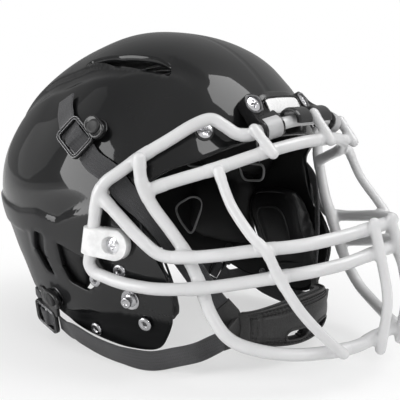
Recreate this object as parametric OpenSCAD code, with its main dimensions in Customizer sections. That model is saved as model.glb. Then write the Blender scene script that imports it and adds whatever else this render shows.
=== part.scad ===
// Football helmet with a twelve-bar face guard, four-point chin strap and fitted pads.
// The origin is the centre of the head's place; front is -Y, the wearer's right is -X.

/* [Shell] */
// Half width of the shell, outside
shell_half_w = 119.5; // [112:0.5:124]
// Reach of the forehead ahead of the origin
shell_front = 128; // [122:0.5:134]
// Reach of the back behind the origin
shell_back = 155; // [148:0.5:160]
// Height of the crown above the origin
shell_up = 128; // [122:0.5:134]
// Notional reach of the side walls below the origin, which sets how upright they are
shell_down = 190; // [180:1:200]
// Extra forward reach of the side walls down at the jaw
jaw_reach = 85; // [78:1:90]
// How far the back is tucked in at the nape
nape_tuck = 20; // [14:1:26]
// Shell wall
shell_wall = 4; // [3:0.25:5]

/* [Face guard] */
// Radius of the cross bars, brow bar, top bar and chin bar
bar_r = 4.4; // [4:0.1:4.8]
// Radius of the upright bars
upright_r = 3.5; // [3.1:0.1:3.9]
// Radius of the brow struts
strut_r = 3.5; // [3.1:0.1:3.9]
// Depth that two bars sink into each other at a weld
weld = 0.5; // [0.3:0.1:0.9]

/* [Guard clips] */
// Clearance between a clip and the bar that it holds
clip_gap = 0.35; // [0.25:0.05:0.5]
// Plastic around the bar in a clip
clip_wall = 3; // [2.5:0.25:3.5]
// Width of a top clip along its bar
top_clip_w = 17; // [15:0.5:19]
// Height of a side clip
side_clip_h = 24; // [20:1:26]
// Length of a side clip's loop along the guard's wire
side_clip_grip = 18.5; // [15:0.5:22]

/* [Fasteners] */
// Radius of the shell's drilled holes
hole_r = 2.7; // [2.6:0.05:3]
// Radius of a screw's shank
shank_r = 2.5; // [2.2:0.05:2.55]
// Radius of a screw's head
head_r = 5.5; // [5:0.25:6]
// Height of a screw's head
head_h = 2.6; // [2:0.2:3]
// Outer radius of a nut's flange inside the shell
nut_r = 7; // [6:0.25:8]
// Radius of a snap stud's head
stud_r = 4; // [3.8:0.1:4.4]
// Height of a snap stud above the shell
stud_h = 6.5; // [6:0.25:7.5]
// Radius of a stud's base ring
stud_base_r = 7.5; // [7:0.25:8.5]

/* [Chin strap] */
// Width of the webbing
strap_w = 16; // [14:0.5:18]
// Thickness of the webbing
strap_t = 1.8; // [1.5:0.1:2.2]
// Width of a buckle's frame, across the webbing
buckle_w = 22.5; // [21.5:0.5:25]
// Length of a buckle, along the webbing
buckle_len = 28; // [25:0.5:30]
// Thickness of a buckle's frame
buckle_t = 3.6; // [3:0.2:4.2]
// Half width of the chin cup
cup_half_w = 54; // [50:1:58]
// Depth of the chin cup, from its ends to its front
cup_depth = 32; // [28:1:36]
// Half height of the chin cup at its middle
cup_half_h = 17; // [14:0.5:19]
// Wall of the chin cup
cup_wall = 4; // [3:0.25:5]

/* [Padding] */
// Space left between a pad and the shell
pad_gap = 0.4; // [0.3:0.1:0.8]
// Thickness of the liner pads
liner_t = 24; // [20:1:28]
// Thickness of a jaw pad
jaw_pad_t = 22; // [18:1:24]

/* [Hidden] */
$fn = 32;

// Small vector helpers
function unit(v) = v / norm(v);
function smooth(t) = let (s = min(1, max(0, t))) s * s * (3 - 2 * s);
function flip(p) = [-p.x, p.y, p.z];
function mirrored(list) = [for (i = [len(list) - 1 : -1 : 0]) flip(list[i])];

// Exponents that set how boxy the shell is, in plan and in rise, in front and behind
plan_front = 2.2;
plan_back = 2.06;
rise_front = 2.2;
rise_back = 1.77;

// Point of the shell's outer face, grown by out, in the direction of d from the origin
function reach(d, out = 0) =
  let (
    u = unit(d),
    tilt = asin(u.z),
    front = shell_front + jaw_reach * smooth((14 - tilt) / 40),
    back = shell_back - nape_tuck * smooth((-tilt - 2) / 28),
    rearward = smooth((u.y + 0.35) / 0.7),
    n = plan_front + (plan_back - plan_front) * rearward,
    m = rise_front + (rise_back - rise_front) * rearward,
    plan = pow(abs(u.x) / (shell_half_w + out), n) + pow(abs(u.y) / ((u.y < 0 ? front : back) + out), n),
    rise = abs(u.z) / ((u.z > 0 ? shell_up : shell_down) + out)
  ) u / pow(pow(plan, m / n) + pow(rise, m), 1 / m);

// Outward normal of the shell in the direction of d
function side_dir(d) = unit(cross([0, 0, 1], unit(d) + [0.001, 0, 0]));
function rise_dir(d) = unit(cross(unit(d), side_dir(d)));
function shell_normal(d) =
  let (a = side_dir(d) * 4, b = rise_dir(d) * 4, p = reach(d))
  unit(cross(reach(p + a) - reach(p - a), reach(p + b) - reach(p - b)));

// Thickness of the wall at d, along the outward normal
function wall_at(d) = (reach(d) - reach(d, -shell_wall)) * shell_normal(d);

// Puts its children on the shell at d, with +Z along the outward normal
module on_shell(d, out = 0) {
  p = reach(d);
  n = shell_normal(d);
  translate(p + n * out)
    rotate([0, acos(n.z), atan2(n.y, n.x)])
      children();
}
module both_sides(d, out = 0) {
  for (q = [d, flip(d)])
    on_shell(q, out)
      children();
}

// Smooth curve through key points, with steps points to each span
function curve_point(a, b, c, d, t) =
  0.5 * (2 * b + (c - a) * t + (2 * a - 5 * b + 4 * c - d) * t * t + (3 * b - a - 3 * c + d) * t * t * t);
function curve(keys, steps) =
  let (last = len(keys) - 1)
  [
    for (i = [0 : last - 1])
      for (j = [0 : steps - 1])
        curve_point(keys[max(i - 1, 0)], keys[i], keys[i + 1], keys[min(i + 2, last)], j / steps),
    keys[last]
  ];

// Sweeps a section, given as [outward, across] pairs, along a path; outs holds each point's outward way
function heading(path, i) = unit(path[min(i + 1, len(path) - 1)] - path[max(i - 1, 0)]);
function away(p) = unit([p.x, p.y, 0] + [0.01, 0, 0]);
function sweep_ring(path, i, section, r) =
  let (
    t = heading(path, i),
    v = unit(r - (r * t) * t),
    w = cross(t, v)
  ) [for (s = section) path[i] + v * s[0] + w * s[1]];
module sweep(path, section, outs) {
  n = len(section);
  m = len(path);
  points = [for (i = [0 : m - 1]) each sweep_ring(path, i, section, outs[i])];
  sides = [
    for (i = [0 : m - 2])
      for (j = [0 : n - 1])
        let (a = i * n + j, b = i * n + (j + 1) % n)
          each [[a, b + n, b], [a, a + n, b + n]]
  ];
  first_cap = [[for (j = [0 : n - 1]) j]];
  last_cap = [[for (j = [n - 1 : -1 : 0]) (m - 1) * n + j]];
  polyhedron(points, concat(sides, first_cap, last_cap), convexity = 8);
}
function round_section(r, sides) =
  [for (k = [0 : sides - 1]) r * [cos(k * 360 / sides), sin(k * 360 / sides)]];
function web_section(t, w) = [[-t, -w] / 2, [t, -w] / 2, [t, w] / 2, [-t, w] / 2];

// Edge of the shell on the wearer's right, from the middle of the brow to the middle of the nape
edge_aims = [
  [0, -125, 53], [-38, -116, 49], [-74, -100, 38], [-91, -86, 31], [-101, -75, 20], [-106, -74, 4],
  [-108, -78, -14], [-107, -88, -28], [-104, -97, -44], [-102, -99, -62], [-100, -94, -80], [-98, -82, -95],
  [-101, -60, -99], [-104, -34, -97.5], [-105, -8, -94], [-104, 18, -86], [-98, 45, -80], [-84, 71, -77],
  [-62, 95, -76], [-32, 112, -75], [0, 118, -75]
];
edge_half = curve(edge_aims, 2);
edge_loop = concat(edge_half, [for (i = [len(edge_half) - 2 : -1 : 1]) flip(edge_half[i])]);
shell_rings = 15;
shell_pole = unit([0, 0.62, 0.785]);

function between(a, b, t) =
  let (w = acos(a * b)) (sin((1 - t) * w) * a + sin(t * w) * b) / sin(w);
function shell_layer(out) =
  concat(
    [reach(shell_pole, out)],
    [for (i = [1 : shell_rings]) for (e = edge_loop) reach(between(shell_pole, unit(e), i / shell_rings), out)]
  );
function layer_faces(start, flipped) =
  let (
    n = len(edge_loop),
    tips = [for (j = [0 : n - 1]) [start, start + 1 + j, start + 1 + (j + 1) % n]],
    bands = [
      for (i = [0 : shell_rings - 2])
        for (j = [0 : n - 1])
          let (a = start + 1 + i * n + j, b = start + 1 + i * n + (j + 1) % n)
            each [[a, a + n, b + n], [a, b + n, b]]
    ]
  ) [for (f = concat(tips, bands)) flipped ? [f[0], f[2], f[1]] : f];
module shell_solid() {
  n = len(edge_loop);
  inner_start = 1 + n * shell_rings;
  outer_rim = 1 + (shell_rings - 1) * n;
  inner_rim = inner_start + outer_rim;
  rim = [
    for (j = [0 : n - 1])
      let (k = (j + 1) % n)
        each [
          [outer_rim + j, inner_rim + j, inner_rim + k],
          [outer_rim + j, inner_rim + k, outer_rim + k]
        ]
  ];
  polyhedron(
    concat(shell_layer(0), shell_layer(-shell_wall)),
    concat(layer_faces(0, false), layer_faces(inner_start, true), rim),
    convexity = 10
  );
}

// Where things sit on the wearer's right half of the shell
top_clip_at = [-31, -110, 71.5];
brow_screw_at = [-67, -98, 56];
side_screw_at = [-116, -61, -21];
upper_stud_at = [-110, -35.3, 58.5];
lower_stud_at = [-111, 14, -75];
spare_stud_at = [-110, -67, -60];
jaw_rivet_at = [[-113, -60, -40], [-115, -37, -50], [-105, -76, -77], [-106, -28, -90]];

// Vents in side view as [y, z], and in top view as [x, y]
ear_vent = [[2, -27], [-26, -34], [-36, -46], [-38, -54], [-28, -61], [-8, -57], [-1, -46]];
rear_vent = [[30, -22], [16, -24], [19, -38], [9, -56], [22, -54], [35, -37]];
crown_vent = [
  [-67.5, 19.3], [-74.2, -17.3], [-73.1, -38.4], [-66.2, -65.7], [-56.4, -60.2], [-63.3, -36.4], [-66.1, -17.2],
  [-62.6, 18.8]
];

module side_cut(outline) {
  for (s = [0, 1])
    mirror([s, 0, 0])
      translate([-140, 0, 0])
        rotate([90, 0, 90])
          linear_extrude(60)
            polygon(outline);
}
module crown_cut() {
  for (s = [0, 1])
    mirror([s, 0, 0])
      translate([0, 0, 60.5])
        linear_extrude(85)
          polygon(crown_vent);
}
module shell_holes() {
  for (d = concat([top_clip_at, brow_screw_at, side_screw_at, upper_stud_at, lower_stud_at, spare_stud_at],
      jaw_rivet_at))
    both_sides(d, -15)
      cylinder(r = hole_r, h = 30);
}
module shell() {
  color([0.08, 0.08, 0.085])
    difference() {
      shell_solid();
      side_cut(ear_vent);
      side_cut(rear_vent);
      crown_cut();
      shell_holes();
    }
}

// Patch that follows the shell: centre aim, two half extents, offsets of its back and face
patch_rings = 5;
patch_spokes = 24;
function squircle(a, n) = let (c = cos(a), s = sin(a)) [c, s] / pow(pow(abs(c), n) + pow(abs(s), n), 1 / n);
function patch_layer(c, e1, e2, back, face, n, edge, rise = 0) =
  concat(
    [reach(c, back) + unit(c) * (rise + face - back)],
    [
      for (i = [1 : patch_rings])
        for (k = [0 : patch_spokes - 1])
          let (
            s = i / patch_rings,
            q = squircle(k * 360 / patch_spokes, n) * s,
            aim = c + e1 * q[0] + e2 * q[1],
            lift = edge + (1 - edge) * pow(1 - pow(s, 4), 0.6)
          ) reach(aim, back) + unit(aim) * (rise + (face - back) * lift)
    ]
  );
module patch(c, e1, e2, back, face, n = 3, edge = 0.35, rise = 0) {
  m = patch_spokes;
  size = 1 + patch_rings * m;
  rim = size - m;
  function half(start, turned) =
    let (
      tips = [for (j = [0 : m - 1]) [start, start + 1 + j, start + 1 + (j + 1) % m]],
      bands = [
        for (i = [0 : patch_rings - 2])
          for (j = [0 : m - 1])
            let (a = start + 1 + i * m + j, b = start + 1 + i * m + (j + 1) % m)
              each [[a, a + m, b + m], [a, b + m, b]]
      ]
    ) [for (f = concat(tips, bands)) turned ? [f[0], f[2], f[1]] : f];
  walls = [
    for (j = [0 : m - 1])
      let (a = rim + j, b = rim + (j + 1) % m)
        each [[a, a + size, b + size], [a, b + size, b]]
  ];
  inward = face < back;
  handed = cross(e1, e2) * c < 0;
  faces = concat(half(0, false), half(size, true), walls);
  polyhedron(
    concat(patch_layer(c, e1, e2, back, back + (face - back) * 0.0001, n, 0, rise),
      patch_layer(c, e1, e2, back, face, n, edge, rise)),
    [for (f = faces) (inward != handed) ? [f[0], f[2], f[1]] : f],
    convexity = 4
  );
}

// Guard key points on the wearer's right, which move out with the shell's width;
// a pair crosses half its centre distance in and out
w_fit = shell_half_w / 119.5;
function wide(p) = [p.x * w_fit, p.y, p.z];
cross_step = (bar_r + bar_r - weld) / 2;
upright_step = bar_r + upright_r - weld;
strut_step = bar_r + strut_r - weld;
upright_top = wide([-123.6, -49, 8]);
upright_foot = wide([-124.4, -42.2, -30]);
function upright(t) = upright_top + (upright_foot - upright_top) * t;
upper_at_chin = wide([-97, -108, -25]);
lower_at_chin = wide([-94, -118, -45]);
upper_at_long = wide([-79, -156, -17]);
lower_at_long = wide([-75, -164, -35]);
chin_at_long = wide([-41, -191, -88]);
brow_at_long = wide([-81, -119, 33]);
upper_at_centre = wide([-12, -195, -9]);
lower_at_centre = wide([-13, -200, -25]);
chin_at_centre = wide([-14, -204, -83]);
chin_bar_start = wide([-105, -74, 40]);
top_at_strut = wide([-55, -127, 54.5]);
clip_bar_a = wide([-46, -131, 57]);
clip_bar_b = wide([-32, -134.6, 60]);
brow_at_strut = wide([-51, -139.5, 43.5]);
top_middle = [0, -138, 63];
brow_middle = [0, -151, 49];
function out_by(p, d) = p + away(p) * d;
// A strut lies over the top bar's upper front and against the brow bar's front
strut_lean = unit([-0.2, -0.75, 0.63]);

top_keys_right = [
  upright(0.02), wide([-122.6, -50.8, 15.5]), wide([-119.6, -55, 23]), wide([-115, -62, 29]),
  chin_bar_start, wide([-93, -88, 51]), wide([-80, -99, 61]), wide([-71, -107, 65]),
  wide([-66, -114, 61]), wide([-61, -121, 55.5]), top_at_strut, clip_bar_a, clip_bar_b,
  wide([-16, -137, 62.4])
];
brow_keys_right = [
  wide([-104, -86, 20]), wide([-97, -98, 25]), brow_at_long, wide([-66, -131, 39]), brow_at_strut,
  wide([-24, -148, 48])
];
upper_keys_right = [
  upright_top + [2, -4.2, 3.5], wide([-119.6, -65, 1.5]), wide([-114, -82, -15]), wide([-107, -94, -25]),
  out_by(upper_at_chin, cross_step), wide([-92, -131, -22]), upper_at_long, wide([-63, -176, -14]),
  wide([-38, -189, -11]), upper_at_centre
];
lower_keys_right = [
  upright(0), upright(0.35), upright(0.7), upright(1), wide([-124.3, -41.3, -36]),
  wide([-123.4, -45.2, -41.5]), wide([-121.8, -53, -43.6]), wide([-119, -68, -46.3]),
  wide([-114, -90, -47.2]), wide([-106, -107, -46.5]), out_by(lower_at_chin, cross_step),
  wide([-88, -140, -41]), lower_at_long, wide([-60, -182, -31]), wide([-38, -194, -28]), lower_at_centre
];
chin_keys_right = [
  out_by(chin_bar_start, 2 * cross_step), wide([-111, -80, 24]), wide([-107, -86, 8]),
  wide([-99, -96, -10]), out_by(upper_at_chin, -cross_step), out_by(lower_at_chin, -cross_step),
  wide([-91, -124, -64]), wide([-88, -137, -79]), wide([-78, -154, -86]), wide([-61, -174, -89]),
  chin_at_long, wide([-27, -200, -86]), chin_at_centre
];
long_keys_right = [
  out_by(brow_at_long, upright_step), wide([-86, -136, 12]), wide([-86, -152, -6]),
  out_by(upper_at_long, upright_step), out_by(lower_at_long, upright_step), wide([-72, -184, -56]),
  wide([-57, -195, -76]), out_by(chin_at_long, upright_step)
];
centre_keys_right = [
  out_by(upper_at_centre, upright_step) + [0, 1, 6], out_by(upper_at_centre, upright_step),
  out_by(lower_at_centre, upright_step), wide([-14, -214, -54]), out_by(chin_at_centre, upright_step),
  out_by(chin_at_centre, upright_step) + [0, 1, -7]
];
strut_keys_right =
  [top_at_strut + strut_lean * strut_step, out_by(brow_at_strut, strut_step + 0.8) + [0, 0, -1]];
strut_keys_centre = [
  top_middle + unit([0, strut_lean.y, strut_lean.z]) * strut_step,
  out_by(brow_middle, strut_step + 0.8) + [0, 0, -1]
];
bar_sides = 10;
upright_sides = 8;
module guard_bar(keys, r, steps, sides) {
  path = curve(keys, steps);
  color([0.78, 0.78, 0.8])
    sweep(path, round_section(r, sides), [for (p = path) away(p)]);
}
function whole(keys, middle) = concat(keys, middle, mirrored(keys));
module guard_top_bar() { guard_bar(whole(top_keys_right, [top_middle]), bar_r, 2, bar_sides); }
module guard_brow_bar() { guard_bar(whole(brow_keys_right, [brow_middle]), bar_r, 2, bar_sides); }
module guard_upper_cross_bar() { guard_bar(whole(upper_keys_right, []), bar_r, 2, bar_sides); }
module guard_lower_cross_bar() { guard_bar(whole(lower_keys_right, []), bar_r, 2, bar_sides); }
module guard_chin_bar() { guard_bar(whole(chin_keys_right, []), bar_r, 2, bar_sides); }
module guard_long_upright_right() { guard_bar(long_keys_right, upright_r, 3, upright_sides); }
module guard_long_upright_left() { mirror([1, 0, 0]) guard_long_upright_right(); }
module guard_centre_upright_right() { guard_bar(centre_keys_right, upright_r, 3, upright_sides); }
module guard_centre_upright_left() { mirror([1, 0, 0]) guard_centre_upright_right(); }
module guard_brow_strut_right() { guard_bar(strut_keys_right, strut_r, 2, upright_sides); }
module guard_brow_strut_centre() { guard_bar(strut_keys_centre, strut_r, 2, upright_sides); }
module guard_brow_strut_left() { mirror([1, 0, 0]) guard_brow_strut_right(); }

// Cylinder from a to b
module rod(a, b, r) {
  v = b - a;
  translate(a)
    rotate([0, acos(v.z / norm(v)), atan2(v.y, v.x)])
      cylinder(r = r, h = norm(v));
}

// Screw head and shank on the shell at d, raised by out, and the nut inside
nut_lip = 1.2;
nut_h = 3.4;
nut_seat = 0.5;
module screw_at(d, out) {
  shank = out + wall_at(d) + nut_seat + nut_h - 0.4;
  on_shell(d, out)
    difference() {
      union() {
        intersection() {
          cylinder(r = head_r, h = head_h);
          translate([0, 0, head_h - 2.4 * head_r])
            sphere(r = 2.4 * head_r);
        }
        translate([0, 0, -shank])
          cylinder(r = shank_r, h = shank + 0.1);
      }
      for (a = [0, 90])
        rotate(a)
          translate([-0.6, -3, head_h - 1.4])
            cube([1.2, 6, 3]);
    }
}
module nut_at(d) {
  on_shell(d, -wall_at(d) - nut_seat)
    difference() {
      union() {
        translate([0, 0, -nut_lip])
          cylinder(r = nut_r, h = nut_lip);
        translate([0, 0, -nut_h])
          cylinder(r = shank_r + 2, h = nut_h - nut_lip / 2);
      }
      translate([0, 0, -nut_h - 1])
        cylinder(r = shank_r + 0.05, h = nut_h + 2);
    }
}

// Loop clip that screws to the forehead and wraps the top bar
top_clip_lift = 2;
top_clip_t = 6;
module top_clip_right() {
  mid = (clip_bar_a + clip_bar_b) / 2;
  along = unit(clip_bar_b - clip_bar_a);
  color([0.1, 0.1, 0.105])
    difference() {
      union() {
        hull() {
          on_shell(top_clip_at, top_clip_lift)
            cylinder(r = top_clip_w / 2, h = top_clip_t);
          rod(mid - along * top_clip_w / 2, mid + along * top_clip_w / 2, bar_r + clip_gap + clip_wall);
        }
        on_shell(top_clip_at, -0.2)
          cylinder(r = top_clip_w / 2 - 1.5, h = top_clip_lift + 1);
      }
      rod(mid - along * 30, mid + along * 30, bar_r + clip_gap);
      on_shell(top_clip_at, -10)
        cylinder(r = hole_r, h = 30);
      on_shell(top_clip_at, top_clip_lift + top_clip_t - 1.5)
        cylinder(r = head_r + 0.5, h = 10);
    }
}
module top_clip_left() { mirror([1, 0, 0]) top_clip_right(); }
module top_clip_screws() {
  color([0.75, 0.75, 0.77])
    for (d = [top_clip_at, flip(top_clip_at)])
      screw_at(d, top_clip_lift + top_clip_t - 1.5);
}
module top_clip_nuts() {
  color([0.6, 0.6, 0.62])
    for (d = [top_clip_at, flip(top_clip_at)])
      nut_at(d);
}

// Side clip: a rounded loop round the rear upright of the lower cross bar
side_clip_lift = 0.3;
side_loop_r = bar_r + clip_gap + clip_wall - 1;
module side_clip_right() {
  mid = upright(0.7);
  along = unit(upright_foot - upright_top);
  color([0.9, 0.9, 0.9])
    difference() {
      hull() {
        on_shell(side_screw_at, side_clip_lift)
          cylinder(r = side_clip_h / 2 - 1, h = 6.5);
        rod(mid - along * side_clip_grip / 2, mid + along * side_clip_grip / 2, side_loop_r);
      }
      rod(mid - along * side_clip_h, mid + along * side_clip_h, bar_r + clip_gap);
      on_shell(side_screw_at, -10)
        cylinder(r = hole_r, h = 30);
      on_shell(side_screw_at, side_clip_lift + 5)
        cylinder(r = head_r + 0.5, h = 10);
    }
}
module side_clip_left() { mirror([1, 0, 0]) side_clip_right(); }
module side_clip_screws() {
  color([0.75, 0.75, 0.77])
    for (d = [side_screw_at, flip(side_screw_at)])
      screw_at(d, side_clip_lift + 5);
}
module side_clip_nuts() {
  color([0.6, 0.6, 0.62])
    for (d = [side_screw_at, flip(side_screw_at)])
      nut_at(d);
}
module brow_screws() {
  color([0.75, 0.75, 0.77])
    for (d = [brow_screw_at, flip(brow_screw_at)])
      screw_at(d, 0);
}
module brow_nuts() {
  color([0.6, 0.6, 0.62])
    for (d = [brow_screw_at, flip(brow_screw_at)])
      nut_at(d);
}

// Bumper over the middle of the top bar, and the plain plate that it carries
bumper_at = [0, -114, 70];
bumper_half_w = 22;
bumper_half_h = 13;
bumper_t = 7;
lip_r = bar_r + 5.2;
lip_bore = bar_r + 2.4;
lip_half_w = 22;
lip_centre = top_middle + [0, 0.6, -0.4];
strut_notch = 2 * strut_r + 1.2;
bridge_l = 12;
bridge_t = 3.5;
module front_bumper() {
  color([0.06, 0.06, 0.065])
    difference() {
      union() {
        patch(bumper_at, [bumper_half_w, 0, 0], [0, 3, bumper_half_h], 0.3, bumper_t, 5, 0.8);
        translate(lip_centre - [lip_half_w, 0, 0])
          rotate([0, 90, 0])
            difference() {
              cylinder(r = lip_r, h = 2 * lip_half_w);
              translate([0, -lip_r, -1])
                cube([lip_r + 1, 2 * lip_r, 2 * lip_half_w + 2]);
            }
        translate([1 - lip_half_w, top_middle.y + lip_bore + 1.7, top_middle.z])
          cube([2 * lip_half_w - 2, bridge_l, bridge_t]);
      }
      translate([-strut_notch / 2, strut_keys_centre[0].y - 30, 50])
        cube([strut_notch, 30 + strut_r, 40]);
      translate(lip_centre - [lip_half_w + 1, 0, 0])
        rotate([0, 90, 0])
          cylinder(r = lip_bore, h = 2 * lip_half_w + 2);
    }
}
plate_t = 1.5;
module nameplate() {
  color([0.93, 0.93, 0.93])
    patch([0, -119, 72.5], [bumper_half_w - 1.5, 0, 0], [0, 2.6, 5.4], 0.3, 0.3 + plate_t, 6, 0.8, bumper_t);
}

// Snap stud: base ring, waist, head, and its rivet end inside the shell
inner_head = 1.2;
waist_r = stud_r - 0.8;
rivet_r = 5.2;
rivet_h = 1.6;
dimple_r = 2.4;
function shank_profile(wall) = [
  [0, -wall - inner_head], [stud_r, -wall - inner_head], [stud_r, -wall], [shank_r, -wall], [shank_r, 0]
];
module snap_stud(wall) {
  rotate_extrude()
    polygon(concat(shank_profile(wall), [
      [stud_base_r, 0], [stud_base_r, 0.8], [stud_r, 1.6], [waist_r, 2], [waist_r, 3.4], [stud_r, 4],
      [stud_r, stud_h - 0.8], [waist_r, stud_h], [0, stud_h]
    ]));
}
module rivet(wall) {
  rotate_extrude()
    polygon(concat(shank_profile(wall), [
      [rivet_r, 0], [rivet_r, 0.8], [rivet_r - 1, rivet_h], [dimple_r, rivet_h], [dimple_r - 0.4, 1], [0, 1]
    ]));
}
module upper_strap_studs() {
  color([0.7, 0.7, 0.72])
    both_sides(upper_stud_at)
      snap_stud(wall_at(upper_stud_at));
}
module lower_strap_studs() {
  color([0.7, 0.7, 0.72])
    both_sides(lower_stud_at)
      snap_stud(wall_at(lower_stud_at));
}
module spare_strap_studs() {
  color([0.7, 0.7, 0.72])
    both_sides(spare_stud_at)
      snap_stud(wall_at(spare_stud_at));
}
module jaw_rivets_right() {
  color([0.7, 0.7, 0.72])
    for (d = jaw_rivet_at)
      on_shell(d)
        rivet(wall_at(d));
}
module jaw_rivets_left() { mirror([1, 0, 0]) jaw_rivets_right(); }

// Pads follow the inside of the shell; flats is what the flat facets of both take from the gap
flats = 1;
pad_back = -shell_wall - flats - pad_gap;
front_back = -shell_wall - nut_seat - nut_h - pad_gap;
pad_color = [0.12, 0.12, 0.12];
module front_pad() {
  color(pad_color) patch([0, -112, 72], [62 * w_fit, 0, 0], [0, 8, 17], front_back, front_back - liner_t * 0.7, 3);
}
module crown_pad() {
  color(pad_color) patch([0, 6, 120], [48 * w_fit, 0, 0], [0, 62, 0], pad_back, pad_back - liner_t, 3);
}
module rear_pad() {
  color(pad_color) patch([0, 140, -4], [72 * w_fit, 0, 0], [0, -14, 52], pad_back, pad_back - liner_t, 3);
}
module side_pad_right() {
  color(pad_color) {
    patch([-112, 8, 36], [0, 54, 0], [8, 0, 40], pad_back, pad_back - liner_t, 3);
    patch([-108, 27, -35], [0, 35, 0], [0, 0, 36], pad_back, pad_back - liner_t * 0.9, 3);
  }
}
module side_pad_left() { mirror([1, 0, 0]) side_pad_right(); }
jaw_pad_at = [-100, -60.2, -48];
jaw_back = -shell_wall - nut_seat - nut_h - 1;
module jaw_pad_right() {
  color(pad_color) patch(jaw_pad_at, [0, 37, -4], [0, 21, 42], jaw_back, jaw_back - jaw_pad_t, 3.4);
}
module jaw_pad_left() { mirror([1, 0, 0]) jaw_pad_right(); }

// Chin cup: a curved wall with a rolled middle and narrower ends
cup_end = [0, -116, -85];
cup_span = 78;
cup_cols = 18;
cup_rows = 6;
function cup_point(a, v, out) =
  let (
    narrow = 1 - 0.42 * pow(abs(sin(a)), 2),
    curl = 1 - 0.16 * v * v
  )
  [
    (cup_half_w + out) * sin(a) / sin(cup_span),
    cup_end.y - (cup_depth + out) * (cos(a) - cos(cup_span)) / (1 - cos(cup_span)) * curl,
    cup_end.z + cup_half_h * v * narrow
  ];
module cup_wall_solid(out_face, in_face) {
  nc = cup_cols + 1;
  nr = cup_rows + 1;
  grid = [
    for (layer = [out_face, in_face])
      for (r = [0 : cup_rows])
        for (c = [0 : cup_cols])
          cup_point(-cup_span + 2 * cup_span * c / cup_cols, -1 + 2 * r / cup_rows, layer)
  ];
  back = nc * nr;
  function at(r, c) = r * nc + c;
  walls = [
    for (r = [0 : cup_rows - 1])
      for (c = [0 : cup_cols - 1])
        let (p = at(r, c), q = at(r, c + 1), s = at(r + 1, c + 1), t = at(r + 1, c))
          each [[p, s, q], [p, t, s], [back + p, back + q, back + s], [back + p, back + s, back + t]]
  ];
  ends = [
    for (r = [0 : cup_rows - 1])
      let (p = at(r, 0), q = at(r + 1, 0), s = at(r, cup_cols), t = at(r + 1, cup_cols))
        each [[p, back + p, back + q], [p, back + q, q], [s, back + t, back + s], [s, t, back + t]]
  ];
  rims = [
    for (c = [0 : cup_cols - 1])
      let (p = at(0, c), q = at(0, c + 1), s = at(cup_rows, c), t = at(cup_rows, c + 1))
        each [[p, q, back + q], [p, back + q, back + p], [s, back + t, t], [s, back + s, back + t]]
  ];
  polyhedron(grid, concat(walls, ends, rims), convexity = 6);
}
module chin_cup() {
  color([0.13, 0.12, 0.12])
    cup_wall_solid(0, -cup_wall);
}
module cup_lining() {
  color([0.2, 0.2, 0.2])
    cup_wall_solid(-cup_wall - 0.3, -cup_wall - 5);
}

// Buckles: each hangs beside its snap, which is on the origin of the buckle's own frame.
// There +X runs from the frame to the snap, +Y along the webbing towards its tail, +Z off the shell.
buckle_lift = 2.4;
upper_turn = 141.5;
lower_turn = 163;
frame_rail = 3;
frame_bar = 3;
frame_bar_h = 2.2;
frame_window = strap_w + 1.5;
socket_bore = stud_r + 0.2;
socket_r = stud_r + 2.4;
socket_h = stud_h - buckle_lift + 0.6;
tab_reach = 3.5;
tab_t = 2.6;
tab_below = 4.5;
upper_frame = [-(buckle_w / 2 + socket_bore + 0.3), 7];
lower_frame = [-25.5, 13];
under_frame = -0.3 - strap_t / 2;
function buckle_spot(d, turn, v) =
  let (
    n = shell_normal(d),
    tilt = acos(n.z),
    spin = atan2(n.y, n.x),
    ex = [cos(tilt) * cos(spin), cos(tilt) * sin(spin), -sin(tilt)],
    ey = [-sin(spin), cos(spin), 0]
  )
  reach(d) + n * (buckle_lift + v.z)
    + (cos(turn) * ex + sin(turn) * ey) * v.x
    + (cos(turn) * ey - sin(turn) * ex) * v.y;
module buckle_at(d, turn) {
  on_shell(d, buckle_lift)
    rotate(turn)
      children();
}
module buckle_frame(middle) {
  window = (buckle_len - 2 * frame_rail - frame_bar) / 2;
  tab_start = middle.x + buckle_w / 2 - frame_rail;
  difference() {
    union() {
      translate([middle.x - buckle_w / 2, middle.y - buckle_len / 2, 0])
        cube([buckle_w, buckle_len, buckle_t]);
      snap_tab(socket_h);
      translate([tab_start, -tab_below, 0])
        cube([-tab_start, tab_below + middle.y + tab_reach, tab_t]);
    }
    for (side = [-1, 1])
      translate([middle.x - frame_window / 2, middle.y + side * (frame_bar + window) / 2 - window / 2, -1])
        cube([frame_window, window, buckle_t + 2]);
    translate([middle.x - frame_window / 2, middle.y - buckle_len / 2 + frame_rail, frame_bar_h])
      cube([frame_window, buckle_len - 2 * frame_rail, buckle_t]);
    translate([0, 0, -1])
      cylinder(r = socket_bore, h = socket_h + 2);
  }
}
module snap_tab(h) {
  for (y = [-tab_reach, tab_reach])
    translate([0, y, 0])
      cylinder(r = socket_r, h = h);
  translate([-socket_r, -tab_reach, 0])
    cube([2 * socket_r, 2 * tab_reach, h]);
}
module snap_cap() {
  translate([0, 0, socket_h])
    cylinder(r = socket_bore + 1.2, h = 1.2);
}

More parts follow.
